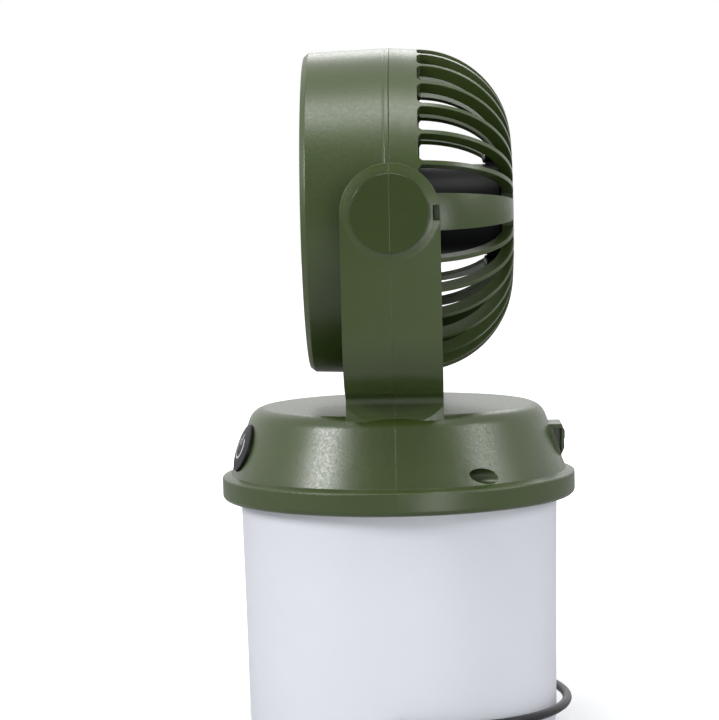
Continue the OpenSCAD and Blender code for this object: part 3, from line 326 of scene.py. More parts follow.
# the discs get a lower roughness and painted shade that multiplies their colour by 0.86
polish_and_shade_discs(green, 0.16, 0.86)
black = finish_of("black_plastic", colour_of(22, 22, 25), 0.42, grain=0.3, depth=0.012, gloss=0.16,
                  edge=0.25)
rubber = finish_of("black_rubber", colour_of(22, 22, 24), 0.66, grain=0.25, depth=0.02, gloss=0.3)
wire = finish_of("coated_wire", colour_of(18, 18, 24), 0.33, grain=0.5, depth=0.002, gloss=0.35)
lead = finish_of("lead_cover", colour_of(28, 28, 30), 0.5, grain=0.4, depth=0.008)
steel = finish_of("plated_steel", colour_of(188, 190, 194), 0.28, grain=0.2, depth=0.004, metal=1.0,
                  stretch=(1, 1, 8))
brass = finish_of("bearing_brass", colour_of(196, 160, 92), 0.32, grain=0.2, depth=0.004, metal=1.0)
fibre = finish_of("washer_fibre", colour_of(134, 62, 48), 0.8, grain=0.4, depth=0.03, drift=0.12)
board = finish_of("circuit_board", colour_of(38, 92, 58), 0.3, grain=0.6, depth=0.01, cloud=6)
cell = finish_of("cell_wrap", colour_of(52, 112, 160), 0.3, grain=0.8, depth=0.01)
white_part = finish_of("white_plastic", colour_of(232, 232, 228), 0.5, grain=0.3, depth=0.01,
                       drift=0.02)
phosphor = finish_of("diode_yellow", colour_of(242, 214, 110), 0.35, grain=0.5, depth=0.01)
mark = finish_of("grey_mark", colour_of(205, 206, 212), 0.5, grain=0.3, depth=0.006, drift=0.03)
print("finishes:", len(bpy.data.materials))

# %% [markdown]
# The diffuser is a milky moulding: light goes a little way in and comes out again, so it has
# almost no dark side. Subsurface scattering does that, with a faint haze of fine grain on top.

# %% Frosted diffuser finish
frost = finish_of("frosted_plastic", colour_of(230, 233, 242), 0.5, grain=0.4, depth=0.008,
                  drift=0.012, cloud=45, gloss=0.4)
shader_of(frost).inputs["Subsurface Weight"].default_value = 0.3
shader_of(frost).inputs["Subsurface Radius"].default_value = (0.9, 0.95, 1.0)
shader_of(frost).inputs["Subsurface Scale"].default_value = 0.006
print("diffuser finish:", frost.name)

# %% [markdown]
# Each piece ends in the same few steps: its doubles are merged, its faces turned outward, its mesh
# carried to its place, and its shading made smooth except at real corners. A Weighted Normal
# modifier keeps the big faces flat beside their small rounds. Then the piece is put on the body
# that its CAD node rides on and given its finish, and the CAD node it stands in for is hidden.


def baked(obj):
    """Turns an object with modifiers into a plain mesh."""
    bpy.context.view_layer.update()
    solid = bpy.data.meshes.new_from_object(obj.evaluated_get(bpy.context.evaluated_depsgraph_get()))
    solid.name = obj.name
    obj.modifiers.clear()
    obj.data = solid
    return solid


def dressed(name, mesh, material, node, sharp=32, stands=True, even=None):
    """Makes a finished piece from a mesh in metres that stands for a CAD node. Faces that meet at
    more than sharp degrees keep a corner between them, and even is another way to shade them."""
    mesh.name = name
    mesh.materials.clear()
    mesh.materials.append(material)
    mesh.polygons.foreach_set("material_index", [0] * len(mesh.polygons))
    mesh.polygons.foreach_set("use_smooth", [True] * len(mesh.polygons))
    obj = bpy.data.objects.new(name, mesh)
    scene.collection.objects.link(obj)
    if even:
        even(mesh)
    else:
        mesh.set_sharp_from_angle(angle=math.radians(sharp))
        weighed = obj.modifiers.new("even_shading", "WEIGHTED_NORMAL")
        weighed.keep_sharp = True
        baked(obj)
    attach(obj, nodes[node]["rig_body"])
    if stands:
        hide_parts(node)
    print(name, "dresses", node, "with", len(obj.data.polygons), "faces")
    return obj


def mesh_of(parts, place=BASE, same=0.0005):
    """One mesh in metres from parts in mm, each a list of points and a list of faces. Points
    nearer than same become one."""
    points, faces = [], []
    for part_points, part_faces in parts:
        first = len(points)
        points += [tuple(p) for p in part_points]
        faces += [[first + i for i in face] for face in part_faces]
    mesh = bpy.data.meshes.new("part")
    mesh.from_pydata(points, [], faces)
    skin = bmesh.new()
    skin.from_mesh(mesh)
    bmesh.ops.remove_doubles(skin, verts=skin.verts, dist=same)
    bmesh.ops.recalc_face_normals(skin, faces=skin.faces)
    skin.to_mesh(mesh)
    skin.free()
    mesh.transform(Matrix.Scale(MM, 4) @ place)
    return mesh


def moved(part, place):
    """The same part, set in another place."""
    points, faces = part
    return [place @ Vector(p) for p in points], faces


# %% [markdown]
# Most of the lamp is turned: drum, cover, diffuser, buttons, pads. So the main tool is a lathe. It
# takes a closed outline of corners, gives each corner its own small round, and spins the outline
# about Z. Drawing the round into the outline puts a true round on the edge, which a picture of
# glossy plastic shows at once.


# %% Lathe and rounded block
def eased(corners):
    """Rounds the corners of a closed outline. A corner is (r, z), or (r, z, radius)."""
    points = []
    for i, corner in enumerate(corners):
        here = Vector(corner[:2])
        to_last = Vector(corners[i - 1][:2]) - here
        to_next = Vector(corners[(i + 1) % len(corners)][:2]) - here
        if len(corner) < 3:
            points.append(here)
            continue
        half = to_last.angle(to_next) / 2
        reach = min(corner[2] / math.tan(half), to_last.length * 0.49, to_next.length * 0.49)
        radius = reach * math.tan(half)
        middle = (to_last.normalized() + to_next.normalized()).normalized()
        centre = here + middle * radius / math.sin(half)
        start = here + to_last.normalized() * reach - centre
        end = here + to_next.normalized() * reach - centre
        steps = 4 + int(radius)
        for k in range(steps + 1):
            ray = start.lerp(end, k / steps).normalized()
            points.append(centre + ray * radius)
    return points


def turned(corners, steps=144):
    """A part made on the lathe: an outline spun about Z in so many steps."""
    outline = eased(corners)
    count = len(outline)
    points = [(r * math.cos(2 * math.pi * s / steps), r * math.sin(2 * math.pi * s / steps), z)
              for s in range(steps) for r, z in outline]
    faces = [(s * count + i, s * count + (i + 1) % count,
              (s + 1) % steps * count + (i + 1) % count, (s + 1) % steps * count + i)
             for s in range(steps) for i in range(count)]
    return points, faces


def block(low, high, edge):
    """A box between two corners with all its edges rounded."""
    skin = bmesh.new()
    bmesh.ops.create_cube(skin, size=1)
    low, high = Vector(low), Vector(high)
    for vert in skin.verts:
        vert.co = Vector(((vert.co[k] + 0.5) * (high[k] - low[k]) + low[k]) for k in range(3))
    bmesh.ops.bevel(skin, geom=skin.edges, offset=edge, segments=3, profile=0.5, affect="EDGES")
    skin.verts.index_update()
    part = [v.co.copy() for v in skin.verts], [[v.index for v in f.verts] for f in skin.faces]
    skin.free()
    return part


def at_pivot(side):
    """Turns a piece made about Z so that its Z points outward at a pivot: side is -1 or 1."""
    return Matrix.Rotation(math.radians(-90 * side), 4, "X")


print("lathe ready")

# %% [markdown]
# The front housing is a short drum with a bevelled front lip, and a thin wall that tapers toward
# the front. A shallow groove beside the seam with the rear guard draws a thin dark line round it.
# Inside, a pad at each side carries the pivot. All of it is lathe work.

# %% Front drum
lip_z, guard_z = -33.5, -31.1
seam_groove = [(63.94, -1.7, 0.2), (63.78, -1.95, 0.15), (63.78, -2.3, 0.15), (63.91, -2.55, 0.2)]
drum = turned([(64, 0, 0.4)] + seam_groove + [(62.9, -31.5, 0.8), (61.3, lip_z, 0.6), (58.3, lip_z, 0.4),
              (58.3, guard_z, 0.2), (60.5, guard_z), (61.8, -2.3), (61.8, 0)], 216)
pads = [moved(turned([(9.06, 60.1), (13, 60.1, 0.4), (13, 62.2), (9.06, 62.2)], 72), at_pivot(side))
        for side in (-1, 1)]
dressed("front_drum", mesh_of([drum] + pads, HEAD), green, "head_front_housing")

# %% [markdown]
# The guard over the fan is a wheel: rings for the rim, the middle and the hub, and 24 spokes. The
# spokes repeat, so Geometry Nodes make them: a line with a rounded rectangle swept along it, set
# round the axis by its number.


# %% Node trees for what repeats
def new_tree(name, *inputs):
    """A Geometry Nodes tree with named inputs, and the sockets that give their values inside it."""
    tree = bpy.data.node_groups.new(name, "GeometryNodeTree")
    tree.interface.new_socket(name="Geometry", in_out="INPUT", socket_type="NodeSocketGeometry")
    tree.interface.new_socket(name="Geometry", in_out="OUTPUT", socket_type="NodeSocketGeometry")
    for label, kind in inputs:
        tree.interface.new_socket(name=label, in_out="INPUT", socket_type="NodeSocket" + kind)
    return tree, tree.nodes.new("NodeGroupInput").outputs


def close_tree(tree, instances, material):
    """Ends a tree in Realize Instances and Set Material."""
    real = add(tree, "GeometryNodeRealizeInstances", Geometry=instances)
    coat = add(tree, "GeometryNodeSetMaterial", Geometry=real.outputs[0], Material=material)
    add(tree, "NodeGroupOutput", Geometry=coat.outputs[0])


def around(tree, shape, count, first):
    """Instances of a shape about Z: first is the angle of number 0, as a share of one step."""
    place = add(tree, "ShaderNodeMath", _0=add(tree, "GeometryNodeInputIndex").outputs[0], _1=first)
    angle = maths(tree, "MULTIPLY", place.outputs[0], maths(tree, "DIVIDE", 2 * math.pi, count))
    rotation = add(tree, "ShaderNodeCombineXYZ", Z=angle)
    marks = add(tree, "GeometryNodePoints", Count=count)
    return add(tree, "GeometryNodeInstanceOnPoints", Points=marks.outputs[0], Instance=shape,
               Rotation=rotation.outputs[0]).outputs[0]


def grown(tree, mesh=None, place=BASE, **values):
    """Runs a tree on a mesh in mm and gives back the result as a plain mesh in metres."""
    obj = bpy.data.objects.new(tree.name, mesh or bpy.data.meshes.new(tree.name))
    scene.collection.objects.link(obj)
    modifier = obj.modifiers.new(tree.name, "NODES")
    modifier.node_group = tree
    for socket in tree.interface.items_tree:
        if socket.in_out == "INPUT" and socket.name.replace(" ", "_") in values:
            modifier[socket.identifier] = values[socket.name.replace(" ", "_")]
    mesh = baked(obj)
    bpy.data.objects.remove(obj)
    mesh.transform(Matrix.Scale(MM, 4) @ place)
    return mesh


def scratch(part):
    """A hidden object in mm that a tree can copy."""
    mesh = mesh_of([part])
    mesh.transform(Matrix.Scale(1 / MM, 4))
    mesh.polygons.foreach_set("use_smooth", [True] * len(mesh.polygons))
    return bpy.data.objects.new("scratch", mesh)


def merged(*meshes):
    """Several meshes in metres as one."""
    skin = bmesh.new()
    for mesh in meshes:
        skin.from_mesh(mesh)
    result = bpy.data.meshes.new("merged")
    skin.to_mesh(result)
    skin.free()
    return result


spokes, has = new_tree("spokes", ("Inner", "Float"), ("Outer", "Float"), ("Width", "Float"),
                       ("Depth", "Float"), ("Edge", "Float"), ("Count", "Int"), ("Material", "Material"))
section = add(spokes, "GeometryNodeCurvePrimitiveQuadrilateral", Width=has["Width"], Height=has["Depth"])
soft = add(spokes, "GeometryNodeFilletCurve", {"mode": "POLY"}, Curve=section.outputs[0],
           Radius=has["Edge"], Count=4)
line = add(spokes, "GeometryNodeCurvePrimitiveLine",
           Start=add(spokes, "ShaderNodeCombineXYZ", X=has["Inner"]).outputs[0],
           End=add(spokes, "ShaderNodeCombineXYZ", X=has["Outer"]).outputs[0])
sweep = add(spokes, "GeometryNodeCurveToMesh", Curve=line.outputs[0], Profile_Curve=soft.outputs[0],
            Fill_Caps=True)
close_tree(spokes, around(spokes, sweep.outputs[0], has["Count"], 0.5), has["Material"])
print("tree:", spokes.name)

# %% Front guard and its badge
guard_place = HEAD @ Matrix.Translation((0, 0, guard_z))
rings = [turned([(56.4, 0, 0.7), (60.4, 0, 0.3), (60.4, 3), (56.4, 3, 0.5)], 180),
         turned([(35, 0, 0.6), (37, 0, 0.6), (37, 2.4, 0.6), (35, 2.4, 0.6)], 144),
         turned([(0, 1.65), (15.1, 1.65), (15.1, 0, 0.2), (17.5, 0, 0.6), (17.5, 3, 0.5), (0, 3)], 120)]
bars = grown(spokes, place=guard_place @ Matrix.Translation((0, 0, 1.5)), Inner=17.0, Outer=57.0,
             Width=1.7, Depth=2.6, Edge=0.55, Count=24, Material=green)
dressed("front_grille", merged(mesh_of(rings, guard_place), bars), green, "front_guard")
badge = turned([(0, 0.05), (9, -0.15), (12.6, -0.32), (12.9, -0.5, 0.15), (13.9, -0.5, 0.25),
                (14.4, 0.05, 0.1), (15, 0.1, 0.2), (15, 1.6), (0, 1.6)], 96)
dressed("bare_badge", mesh_of([badge], guard_place), green, "guard_badge")

# %% [markdown]
# The rear guard, the dome and the arms are made of walls, windows and wells that the CAD model
# already has exactly. A copy of each is merged into one skin, because a CAD mesh is loose
# triangles, and gets smooth shading up to its corners. The Bevel node in the green finish rounds
# the corners, which would be risky with real bevels where so many edges meet.


# %% Rear guard, dome and arms
def even_normals(mesh, limit=20):
    """Sets each corner's normal to the mean of the faces round its point that turn less than
    limit degrees from its own face, weighed by their area, so that slivers don't count."""
    near = math.cos(math.radians(limit))
    round_point = [[] for _ in mesh.vertices]
    for face in mesh.polygons:
        for v in face.vertices:
            round_point[v].append((face.normal.copy(), face.area))
    normals = []
    for face in mesh.polygons:
        own = face.normal
        for v in face.vertices:
            total = sum((n * area for n, area in round_point[v] if n.dot(own) > near), own * 1e-12)
            normals.append(total.normalized())
    mesh.normals_split_custom_set(normals)


def skin_copy(name, node, material, same=0.002):
    """A copy of a CAD node's mesh as one skin: points nearer than same, in mm, become one."""
    mesh = nodes[node].data.copy()
    skin = bmesh.new()
    skin.from_mesh(mesh)
    bmesh.ops.remove_doubles(skin, verts=skin.verts, dist=same * MM)
    skin.to_mesh(mesh)
    skin.free()
    return dressed(name, mesh, material, node, even=even_normals)


skin_copy("rear_guard", "head_rear_housing", green)
skin_copy("yoke_front_half", "base_front_shell", green)
skin_copy("yoke_rear_half", "base_rear_shell", green)
skin_copy("pivot_pins", "pivot_hubs", black)

# %% [markdown]
# A black cup covers the motor. It hangs from the middle of the rear guard on two ears, so it shows
# through the slots of the guard. The motor, its bearing and its shaft are inside.

# %% Motor and its cover
ear_x, ear_z, cup_end = 20.4, 36.8, 42.3
ear = turned([(1.3, ear_z), (2.8, ear_z, 0.5), (2.8, cup_end), (1.3, cup_end)], 40)
ears = []
for side in (-1, 1):
    ears.append(moved(ear, Matrix.Translation((ear_x * side, 0, 0))))
    low_x, high_x = sorted((16.9 * side, 18.6 * side))
    ears.append(block((low_x, -2.2, ear_z), (high_x, 2.2, cup_end), 0.4))
cup = turned([(16.2, 6, 0.3), (17.8, 6, 0.6), (17.8, cup_end, 0.6), (0, cup_end), (0, 40.7),
              (16.2, 40.7, 0.5)])
dressed("motor_cup", mesh_of([cup] + ears, HEAD), black, "motor_cover")
can = turned([(3.2, 8.4), (5, 8.4, 0.5), (5, 10.7, 0.3), (14, 10.7, 1.2), (14, 12.7, 0.2),
              (16.1, 12.7, 0.3), (16.1, 15.7, 0.3), (14, 15.7, 0.2), (14, 40.7, 0.8), (0, 40.7),
              (0, 36), (3.2, 36)])
dressed("motor_can_body", mesh_of([can], HEAD), steel, "motor_can")
bearing = turned([(1.21, 8.5, 0.2), (3.2, 8.5, 0.25), (3.2, 11.5, 0.25), (1.21, 11.5, 0.2)], 48)
dressed("motor_bearing_ring", mesh_of([bearing], HEAD), brass, "motor_bearing")
axle_r, axle_end = 1.15, -20
axle = turned([(0, axle_end), (axle_r, axle_end, 0.25), (axle_r, 35.2, 0.25), (0, 35.2)], 48)
dressed("motor_axle", mesh_of([axle], HEAD), steel, "motor_shaft")

# %% [markdown]
# A fan blade is a curved sheet that twists: steep near the hub, where it moves slowly, and flatter
# at its tip. It is drawn here section by section, each a thin arc with round ends, and Geometry
# Nodes set the seven blades round the hub.


# %% Impeller
def blade(tip=56.5, root=15.2, stations=15, chord=12, camber=34.0, thick=0.75, twists=(43, 34),
          arc_from=-15.5, arc_span=35.5, half_depth=8.5, trim_by=1.6):
    """A blade from root to tip in mm, as stations of a loop with chord steps on each side. camber is
    the radius of its hollow, thick half its thickness, twists its slant in degrees at root and tip,
    arc_from and arc_span where its arc starts and how far it goes, half_depth where it is cut off
    along the axis, and trim_by how much comes off the tip's corners."""
    points, faces = [], []
    for s in range(stations + 1):
        share = s / stations
        radius = root + (tip - root) * share
        twist = math.radians(twists[0] - (twists[0] - twists[1]) * share)
        loop = []
        for side in (1, -1):
            for k in range(chord + 1):
                t = k / chord if side > 0 else 1 - k / chord
                angle = twist + math.radians(arc_from + arc_span * t)
                swell = thick * max(0.0, 1 - abs(2 * t - 1) ** 6) ** 0.5
                reach = camber + side * swell
                y = -camber * math.cos(twist) + reach * math.cos(angle)
                z = -camber * math.sin(twist) + reach * math.sin(angle)
                z = max(-half_depth, min(half_depth, z))
                # the corners are rounded off along the last tenth of the blade
                trim = trim_by * max(0.0, share - 0.9) * 10 * abs(2 * t - 1) ** 5
                loop.append((math.sqrt(max(1.0, (radius - trim) ** 2 - y * y)), y, z))
        points += loop
    size = 2 * (chord + 1)
    for s in range(stations):
        for k in range(size):
            a, b = s * size + k, s * size + (k + 1) % size
            faces.append((a, b, b + size, a + size))
    faces.append(list(range(size)))
    faces.append([stations * size + k for k in range(size)])
    return points, faces


copies, has = new_tree("copies_round_axis", ("Piece", "Object"), ("Count", "Int"), ("First", "Float"),
                       ("Material", "Material"))
shape = add(copies, "GeometryNodeObjectInfo", Object=has["Piece"]).outputs["Geometry"]
close_tree(copies, around(copies, shape, has["Count"], has["First"]), has["Material"])
hub = turned([(axle_r, axle_end), (4.2, axle_end), (4.2, -22, 0.3), (14.4, -22, 0.8),
              (16, -20.4, 0.8), (16, -2, 0.4), (14, -2, 0.3), (14, -18, 0.5), (3.4, -18),
              (3.4, -4, 0.3), (axle_r, -4)])
blades = grown(copies, place=HEAD @ Matrix.Translation((0, 0, -12)), Piece=scratch(blade()), Count=7,
               First=0.0, Material=black)
dressed("fan_wheel", merged(mesh_of([hub], HEAD), blades), black, "impeller", sharp=45)
nut = turned([(0, -21.2), (axle_r, -21.2), (axle_r, axle_end), (3.6, axle_end), (3.6, -21, 0.2),
              (3.2, -21.2, 0.2), (3.2, -23.2, 0.7), (0, -23.2)], 60)
dressed("fan_nut", mesh_of([nut], HEAD), black, "impeller_nut")

# %% [markdown]
# Four sets of small screws hold the lamp together. Each has a domed head with a cross recess. The
# tree takes one turned blank, cuts the cross out of its head, and puts the screw on each point of
# the mesh that it is given, turned to face the way the set faces.

# %% Screw tree
screws, has = new_tree("cross_screws", ("Blank", "Object"), ("Top", "Float"), ("Recess", "Vector"),
                       ("Facing", "Vector"), ("Material", "Material"))
blank = add(screws, "GeometryNodeObjectInfo", Object=has["Blank"]).outputs["Geometry"]
lift = add(screws, "ShaderNodeCombineXYZ", Z=has["Top"])
bar_a = add(screws, "GeometryNodeMeshCube", Size=has["Recess"])
quarter = add(screws, "GeometryNodeTransform", Geometry=bar_a.outputs[0], Rotation=(0, 0, math.pi / 2))
cut_a = add(screws, "GeometryNodeTransform", Geometry=bar_a.outputs[0], Translation=lift.outputs[0])
cut_b = add(screws, "GeometryNodeTransform", Geometry=quarter.outputs[0], Translation=lift.outputs[0])
cut = add(screws, "GeometryNodeMeshBoolean", {"operation": "DIFFERENCE", "solver": "EXACT"}, _0=blank)
link(screws, cut_a.outputs[0], cut.inputs[1])
link(screws, cut_b.outputs[0], cut.inputs[1])
facing = add(screws, "FunctionNodeAlignRotationToVector", Vector=has["Facing"])
on_points = add(screws, "GeometryNodeInstanceOnPoints", Points=has["Geometry"], Instance=cut.outputs[0],
                Rotation=facing.outputs[0])
close_tree(screws, on_points.outputs[0], has["Material"])


def screw_blank(shank, length, head, height):
    """A screw about Z, with the underside of its head at z = 0."""
    return scratch(turned([(0, -length), (shank * 0.6, -length), (shank, -length + 0.8), (shank, 0),
                           (head, 0, 0.15), (head, height * 0.55, height * 0.4), (0, height)], 40))


def screw_set(name, node, places, facing, shank, length, head, height, place=BASE):
    """Screws at places in mm, which are the undersides of their heads. shank and head are radii,
    and the two bars of the cross take their size from the head."""
    points = bpy.data.meshes.new("points")
    points.from_pydata([tuple(p) for p in places], [], [])
    mesh = grown(screws, points, place, Blank=screw_blank(shank, length, head, height), Top=height,
                 Recess=(head * 1.35, head * 0.27, height * 1.1), Facing=facing, Material=steel)
    return dressed(name, mesh, steel, node)


shell_low, shell_high = (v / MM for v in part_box("shell_screws"))
well_head = 2.5
well_y, well_z = shell_high.y - well_head, (shell_low.z + shell_high.z) / 2
screw_set("well_screws", "shell_screws", [(14, y, well_z) for y in (-well_y, well_y)], (1, 0, 0),
          1.3, 23, well_head, 1.8)
screw_set("cup_screws", "cover_screws", [(x, 0, ear_z) for x in (-ear_x, ear_x)], (0, 0, -1),
          1.2, 8, 2.3, 1.5, HEAD)
ring_r, deck_low, deck_high = 57.3, 102.4, 104.6
ring = [math.radians(a) for a in (45, 135, 225, 315)]
screw_set("deck_ring_screws", "deck_screws",
          [(ring_r * math.cos(a), ring_r * math.sin(a), deck_low) for a in ring],
          (0, 0, -1), 1.2, 8, 2.3, 1.5)
screw_set("circuit_screws", "board_screws", [(x, y, 126.8) for x in (-36, 36) for y in (-20, 20)],
          (0, 0, 1), 1.0, 6, 1.9, 1.1)

# %% [markdown]
# The two buttons sit side by side on the dome's wall and face out along it. Each is turned, with a
# crowned face and a small round at its edge. The generic signs on them, a switch sign and a
# three-bladed fan, are thin inlays that follow the crown.

# %% Buttons
wall_r, button_z, button_turn, wall_slope = 62.42, 117.1, 16, 70
face_r, face_top, crown_up = 9.4, 1.8, 1
crown_r = (face_r ** 2 + crown_up ** 2) / (2 * crown_up)


def crown(r):
    """Height of a button's face at a distance from its middle."""
    return face_top - crown_r + math.sqrt(crown_r ** 2 - r * r)


def at_button(side):
    """The place of a button on the wall: side is -1 for the one on the camera's side, 1 for the other."""
    round_lamp = Matrix.Rotation(math.radians(180 - button_turn * side), 4, "Z")
    on_slope = Matrix.Rotation(math.radians(wall_slope), 4, "Y")
    return round_lamp @ Matrix.Translation((wall_r, 0, button_z)) @ on_slope


def button_body():
    """A button about Z, its crowned face up."""
    face = [(r, crown(r)) for r in (0, 1.5, 3, 4.5, 6, 7.2, 8.2, 8.8)]
    points, faces = turned(face + [(face_r, 0.85, 0.45), (face_r, -2.2), (10.6, -2.2), (10.6, -3.4),
                                   (2.5, -3.4), (2.5, -4.1), (0, -4.1)], 120)
    # the flange is cut flat below
    flat_at = 9.55
    return [(min(p[0], flat_at), p[1], p[2]) for p in points], faces


def inlay(strip, width, closed=False, proud=0.04, sunk=0.3):
    """A thin raised line along points (x, y) on a button's face."""
    points, faces = [], []
    count = len(strip)
    for i, here in enumerate(strip):
        last = strip[i - 1] if i or closed else strip[0]
        after = strip[(i + 1) % count] if i < count - 1 or closed else strip[-1]
        along = (Vector(after) - Vector(last)).normalized()
        across = Vector((-along.y, along.x)) * width / 2
        for edge, height in ((1, proud), (-1, proud), (-1, -sunk), (1, -sunk)):
            spot = Vector(here) + across * edge
            points.append((spot.x, spot.y, crown(spot.length) + height))
    for i in range(count if closed else count - 1):
        a, b = 4 * i, 4 * ((i + 1) % count)
        faces += [(a + k, a + (k + 1) % 4, b + (k + 1) % 4, b + k) for k in range(4)]
    if not closed:
        faces += [(0, 1, 2, 3), tuple(4 * count - 4 + k for k in range(4))]
    return points, faces


def arc(radius, first, last, steps=40, middle=(0, 0)):
    """Points on an arc; angle 0 points up the face, which is the button's own -X."""
    angles = [math.radians(first + (last - first) * k / steps) for k in range(steps + 1)]
    return [(middle[0] - radius * math.cos(a), middle[1] + radius * math.sin(a)) for a in angles]


switch_sign = [inlay(arc(4.3, 38, 322), 0.75), inlay([(-5.6, 0), (-4, 0), (-2.5, 0), (-1, 0)], 0.75)]
fan_sign = [inlay(arc(1.0, 0, 350, 24), 0.55, closed=True)]
for petal in (0, 120, 240):
    turn_by = Matrix.Rotation(math.radians(petal), 2)
    leaf = [turn_by @ Vector(p) for p in arc(1.9, 0, 345, 28, (-3.4, 0.9))]
    fan_sign.append(inlay([tuple(p) for p in leaf], 0.6, closed=True))
for name, node, side, sign in (("fan_key", "fan_button", 1, fan_sign),
                               ("lamp_key", "lamp_button", -1, switch_sign)):
    dressed(name, mesh_of([button_body()], at_button(side)), black, node)
    dressed(name + "_sign", mesh_of(sign, at_button(side)), mark, node, stands=False)

# %% [markdown]
# A rubber flap covers the charge socket. It is a rounded block with a lip to pull, a plug behind
# it, and a round edge along its lower side that it swings on.

# %% Port flap
flap_half = 6.3
panel_and_lip = [block((64.1, -flap_half, 114.7), (65.7, flap_half, 121.0), 0.35),
                 block((65.3, -3.2, 117.05), (66.28, 3.2, 120.55), 0.28)]
plug = block((63.8, -3.9, 116.85), (64.3, 3.9, 118.75), 0.1)
roll = turned([(0, -flap_half), (0.8, -flap_half, 0.2), (0.8, flap_half, 0.2), (0, flap_half)], 32)
hinge_edge = moved(roll, Matrix.Translation((64.9, 0, 114.6)) @ Matrix.Rotation(math.radians(90), 4, "X"))
dressed("port_flap", mesh_of(panel_and_lip + [plug, hinge_edge]), rubber, "port_cover")

# %% [markdown]
# The lantern is a thick milky cup with a soft lower edge, hung under the rim. Inside are a white
# deck, a board with rings of small diodes and a cone that spreads their light.

# %% Lantern
cup_top, board_low, bail_z = 103.6, 100.8, 16.0
cup = turned([(60.9, cup_top, 0.4), (62.9, cup_top, 0.5), (61.33, bail_z), (61.17, 0.6, 12),
              (43.5, 0.6, 0.3), (43.5, 1.6, 0.1), (0, 1.6), (0, 2.6), (59.2, 2.6, 10),
              (59.35, bail_z)], 240)
dressed("milky_cup", mesh_of([cup]), frost, "diffuser")
seal = turned([(60.9, cup_top, 0.2), (62.9, cup_top, 0.2), (62.9, deck_high, 0.2),
               (60.9, deck_high, 0.2)], 180)
dressed("cup_seal", mesh_of([seal]), rubber, "diffuser_seal")
deck = turned([(0, deck_low), (60.6, deck_low, 0.5), (60.6, deck_high, 0.3), (0, deck_high)], 180)
dressed("white_deck", mesh_of([deck]), white_part, "lamp_deck")
disc = turned([(0, board_low), (46, board_low, 0.2), (46, deck_low, 0.2), (0, deck_low)], 180)
dressed("diode_board", mesh_of([disc]), white_part, "lamp_board")
cone = turned([(19, board_low), (19, 99.6, 0.3), (1.5, 78.8, 0.8), (0, 78.8), (0, 80.4), (0.8, 80.4),
               (17.4, board_low)], 120)
dressed("spread_cone", mesh_of([cone]), white_part, "reflector_cone")

# %% [markdown]
# The diodes stand in two rings. The tree that copied the fan's blades round the axis copies them
# too: it only needs one diode, already moved out to its ring, and a count.

# %% Diodes
diode = block((-1.4, -1.4, -0.7), (1.4, 1.4, 0), 0.22)
rows = []
for radius, count in ((40, 24), (24, 12)):
    outward = moved(diode, Matrix.Translation((radius, 0, board_low)))
    rows.append(grown(copies, Piece=scratch(outward), Count=count, First=0.0, Material=phosphor))
dressed("diode_rings", merged(*rows), phosphor, "lamp_diodes")

# %% [markdown]
# The lamp stands on a thin rubber pad let into the diffuser's floor. Two grooves run round it, so
# that it grips instead of sliding on a film of air. It is one outline for the lathe.

# %% Foot pad
pad = turned([(0, 0), (24, 0), (24.5, 0.5, 0.2), (26, 0.5, 0.2), (26.5, 0), (34, 0), (34.5, 0.5, 0.2),
              (36, 0.5, 0.2), (36.5, 0), (43.39, 0, 0.5), (43.39, 1.6, 0.2), (0, 1.6)], 180)
dressed("round_foot", mesh_of([pad]), rubber, "foot_pad")

# %% [markdown]
# Wire and leads are a round section swept along a path whose corners are bent, never mitred. The
# tree takes a path as a mesh of points and edges, bends its corners with Fillet Curve, and sweeps a
# circle along it. The bail is coated wire, the head has two round leads, and a flat lead of four
# cores runs down the near arm.

# %% Bent wire tree
bent, has = new_tree("bent_wire", ("Radius", "Float"), ("Bend", "Float"), ("Sides", "Int"),
                     ("Material", "Material"))
path = add(bent, "GeometryNodeMeshToCurve", Mesh=has["Geometry"])
bends = add(bent, "GeometryNodeFilletCurve", {"mode": "POLY"}, Curve=path.outputs[0],
            Radius=has["Bend"], Count=6, Limit_Radius=True)
circle = add(bent, "GeometryNodeCurvePrimitiveCircle", Radius=has["Radius"], Resolution=has["Sides"])
tube = add(bent, "GeometryNodeCurveToMesh", Curve=bends.outputs[0], Profile_Curve=circle.outputs[0],
           Fill_Caps=True)
close_tree(bent, tube.outputs[0], has["Material"])


def wire_along(path, radius, bend, material, place=BASE, sides=12):
    """A wire of a radius in mm along a path in mm, each corner bent to the radius bend."""
    points = bpy.data.meshes.new("path")
    points.from_pydata([tuple(p) for p in path], [(i, i + 1) for i in range(len(path) - 1)], [])
    mesh = grown(bent, points, place, Radius=radius, Bend=bend, Sides=sides, Material=material)
    skin = bmesh.new()
    skin.from_mesh(mesh)
    bmesh.ops.recalc_face_normals(skin, faces=skin.faces)
    skin.to_mesh(mesh)
    skin.free()
    return mesh


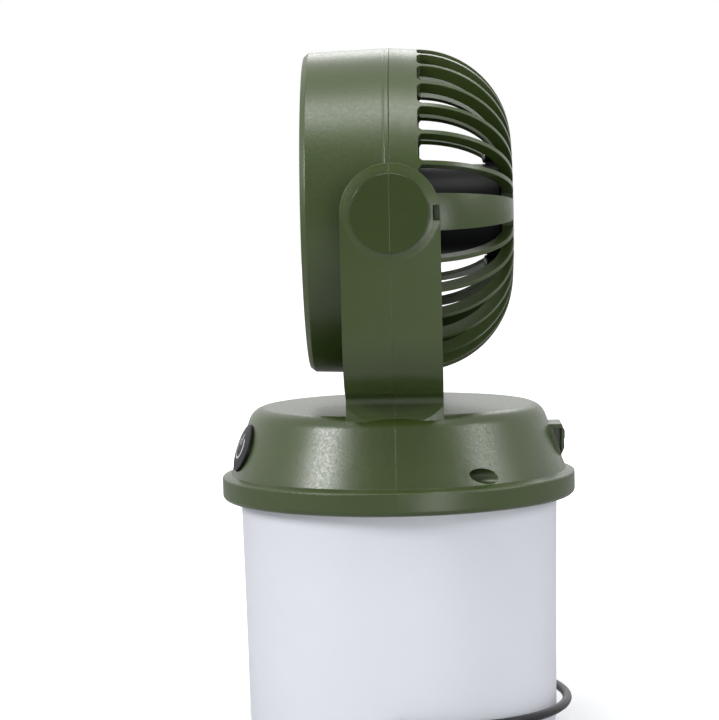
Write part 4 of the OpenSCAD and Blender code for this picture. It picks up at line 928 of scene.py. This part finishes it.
# %% Bail, its bushes and the washers at the arms
bail_r, bail_in, bail_tip = 65.6, 56, 2.2
bail_turns = [math.radians(-90 + 3 * k) for k in range(1, 60)]
bail_path = ([(0, -bail_in, 0), (0, -bail_r, 0)]
             + [(bail_r * math.cos(a), bail_r * math.sin(a), 0) for a in bail_turns]
             + [(0, bail_r, 0), (0, bail_in, 0)])
bail_pivot = Matrix.Translation((0, 0, bail_z))
bail_place = bail_pivot @ Matrix.Rotation(math.radians(bail_tip), 4, "Y")
dressed("bent_bail", wire_along(bail_path, 1.8, 2.0, wire, bail_place, 24), wire, "bail_wire", sharp=60)
bush = turned([(1.86, 55.39, 0.2), (6, 55.39, 0.3), (6, 59.0, 0.3), (3.8, 59.2), (3.8, 60.9, 0.2),
               (2.1, 61.0), (2.1, 61.9, 0.1), (1.86, 61.9)], 64)
bushes = [moved(bush, at_pivot(side)) for side in (-1, 1)]
dressed("bail_eyes", mesh_of(bushes, bail_pivot), black, "bail_bushes")
washer = turned([(9.3, 69.3, 0.2), (11.5, 69.3, 0.2), (11.5, 70.3, 0.2), (9.3, 70.3, 0.2)], 96)
washers = [moved(washer, at_pivot(side)) for side in (-1, 1)]
dressed("brake_washers", mesh_of(washers, Matrix.Translation((0, 0, axis_z))), fibre, "friction_washers")

# %% Leads in the head
mid_y, mid_z, curve_r = -26.1, 9.6, 30.8
curve = [(mid_y - curve_r * math.cos(math.radians(a)), mid_z + curve_r * math.sin(math.radians(a)))
         for a in range(0, 91, 6)]
leads = []
for x in (-1.2, 1.2):
    path = [(x, -59.5, 0), (x, -56.9, 0)] + [(x, y, z) for y, z in curve] + [(x, -15.4, 40.4)]
    leads.append(wire_along(path, 0.9, 1.4, lead, HEAD, 16))
dressed("head_twin_lead", merged(*leads), lead, "head_leads", sharp=60)

# %% Flat lead in the arm
bend_y, bend_z, bend_r, drop = 49.98, -41.97, 23.62, -81.0
route = [(63.6, 0), (73.6, 0)]
route += [(bend_y + bend_r * math.cos(math.radians(a)), bend_z - bend_r * math.sin(math.radians(a)))
          for a in range(0, 75, 6)]
route += [(bend_y - 1.5, -67.4), (bend_y - 7, drop + 4), (bend_y - 11.5, drop), (22, drop)]
cores = [wire_along([(x, -y, axis_z + z) for y, z in route], 0.58, 1.2, lead)
         for x in (-1.5, -0.5, 0.5, 1.5)]
dressed("arm_flat_lead", merged(*cores), lead, "base_leads", sharp=60)

# %% [markdown]
# Three round cells lie side by side in a tray. Each is wrapped, has a groove near its positive end
# and a small terminal. The tray, the boards and the socket keep their CAD shapes.

# %% Cells
cell_outline = [(0, 0), (7.6, 0, 0.2), (9.1, 0, 0.8), (9.1, 58.6, 0.5), (8.5, 59.6, 0.5), (9.1, 60.6, 0.5),
                (9.1, 65, 0.8), (7.2, 65, 0.2), (3, 65), (3, 65.8, 0.3), (0, 65.8)]
cells = [moved(turned(cell_outline, 96), Matrix.Translation((-32.5, 19.1 * k, 115.3))
               @ Matrix.Rotation(math.radians(90), 4, "Y")) for k in (-1, 0, 1)]
dressed("wrapped_cells", mesh_of(cells), cell, "battery_cells")
for material, names in {black: ("battery_tray",), board: ("main_board", "button_switches"),
                        steel: ("charge_socket",)}.items():
    for name in names:
        mesh = nodes[name].data
        mesh.materials.clear()
        mesh.materials.append(material)
        print(name, "keeps its CAD shape in", material.name)
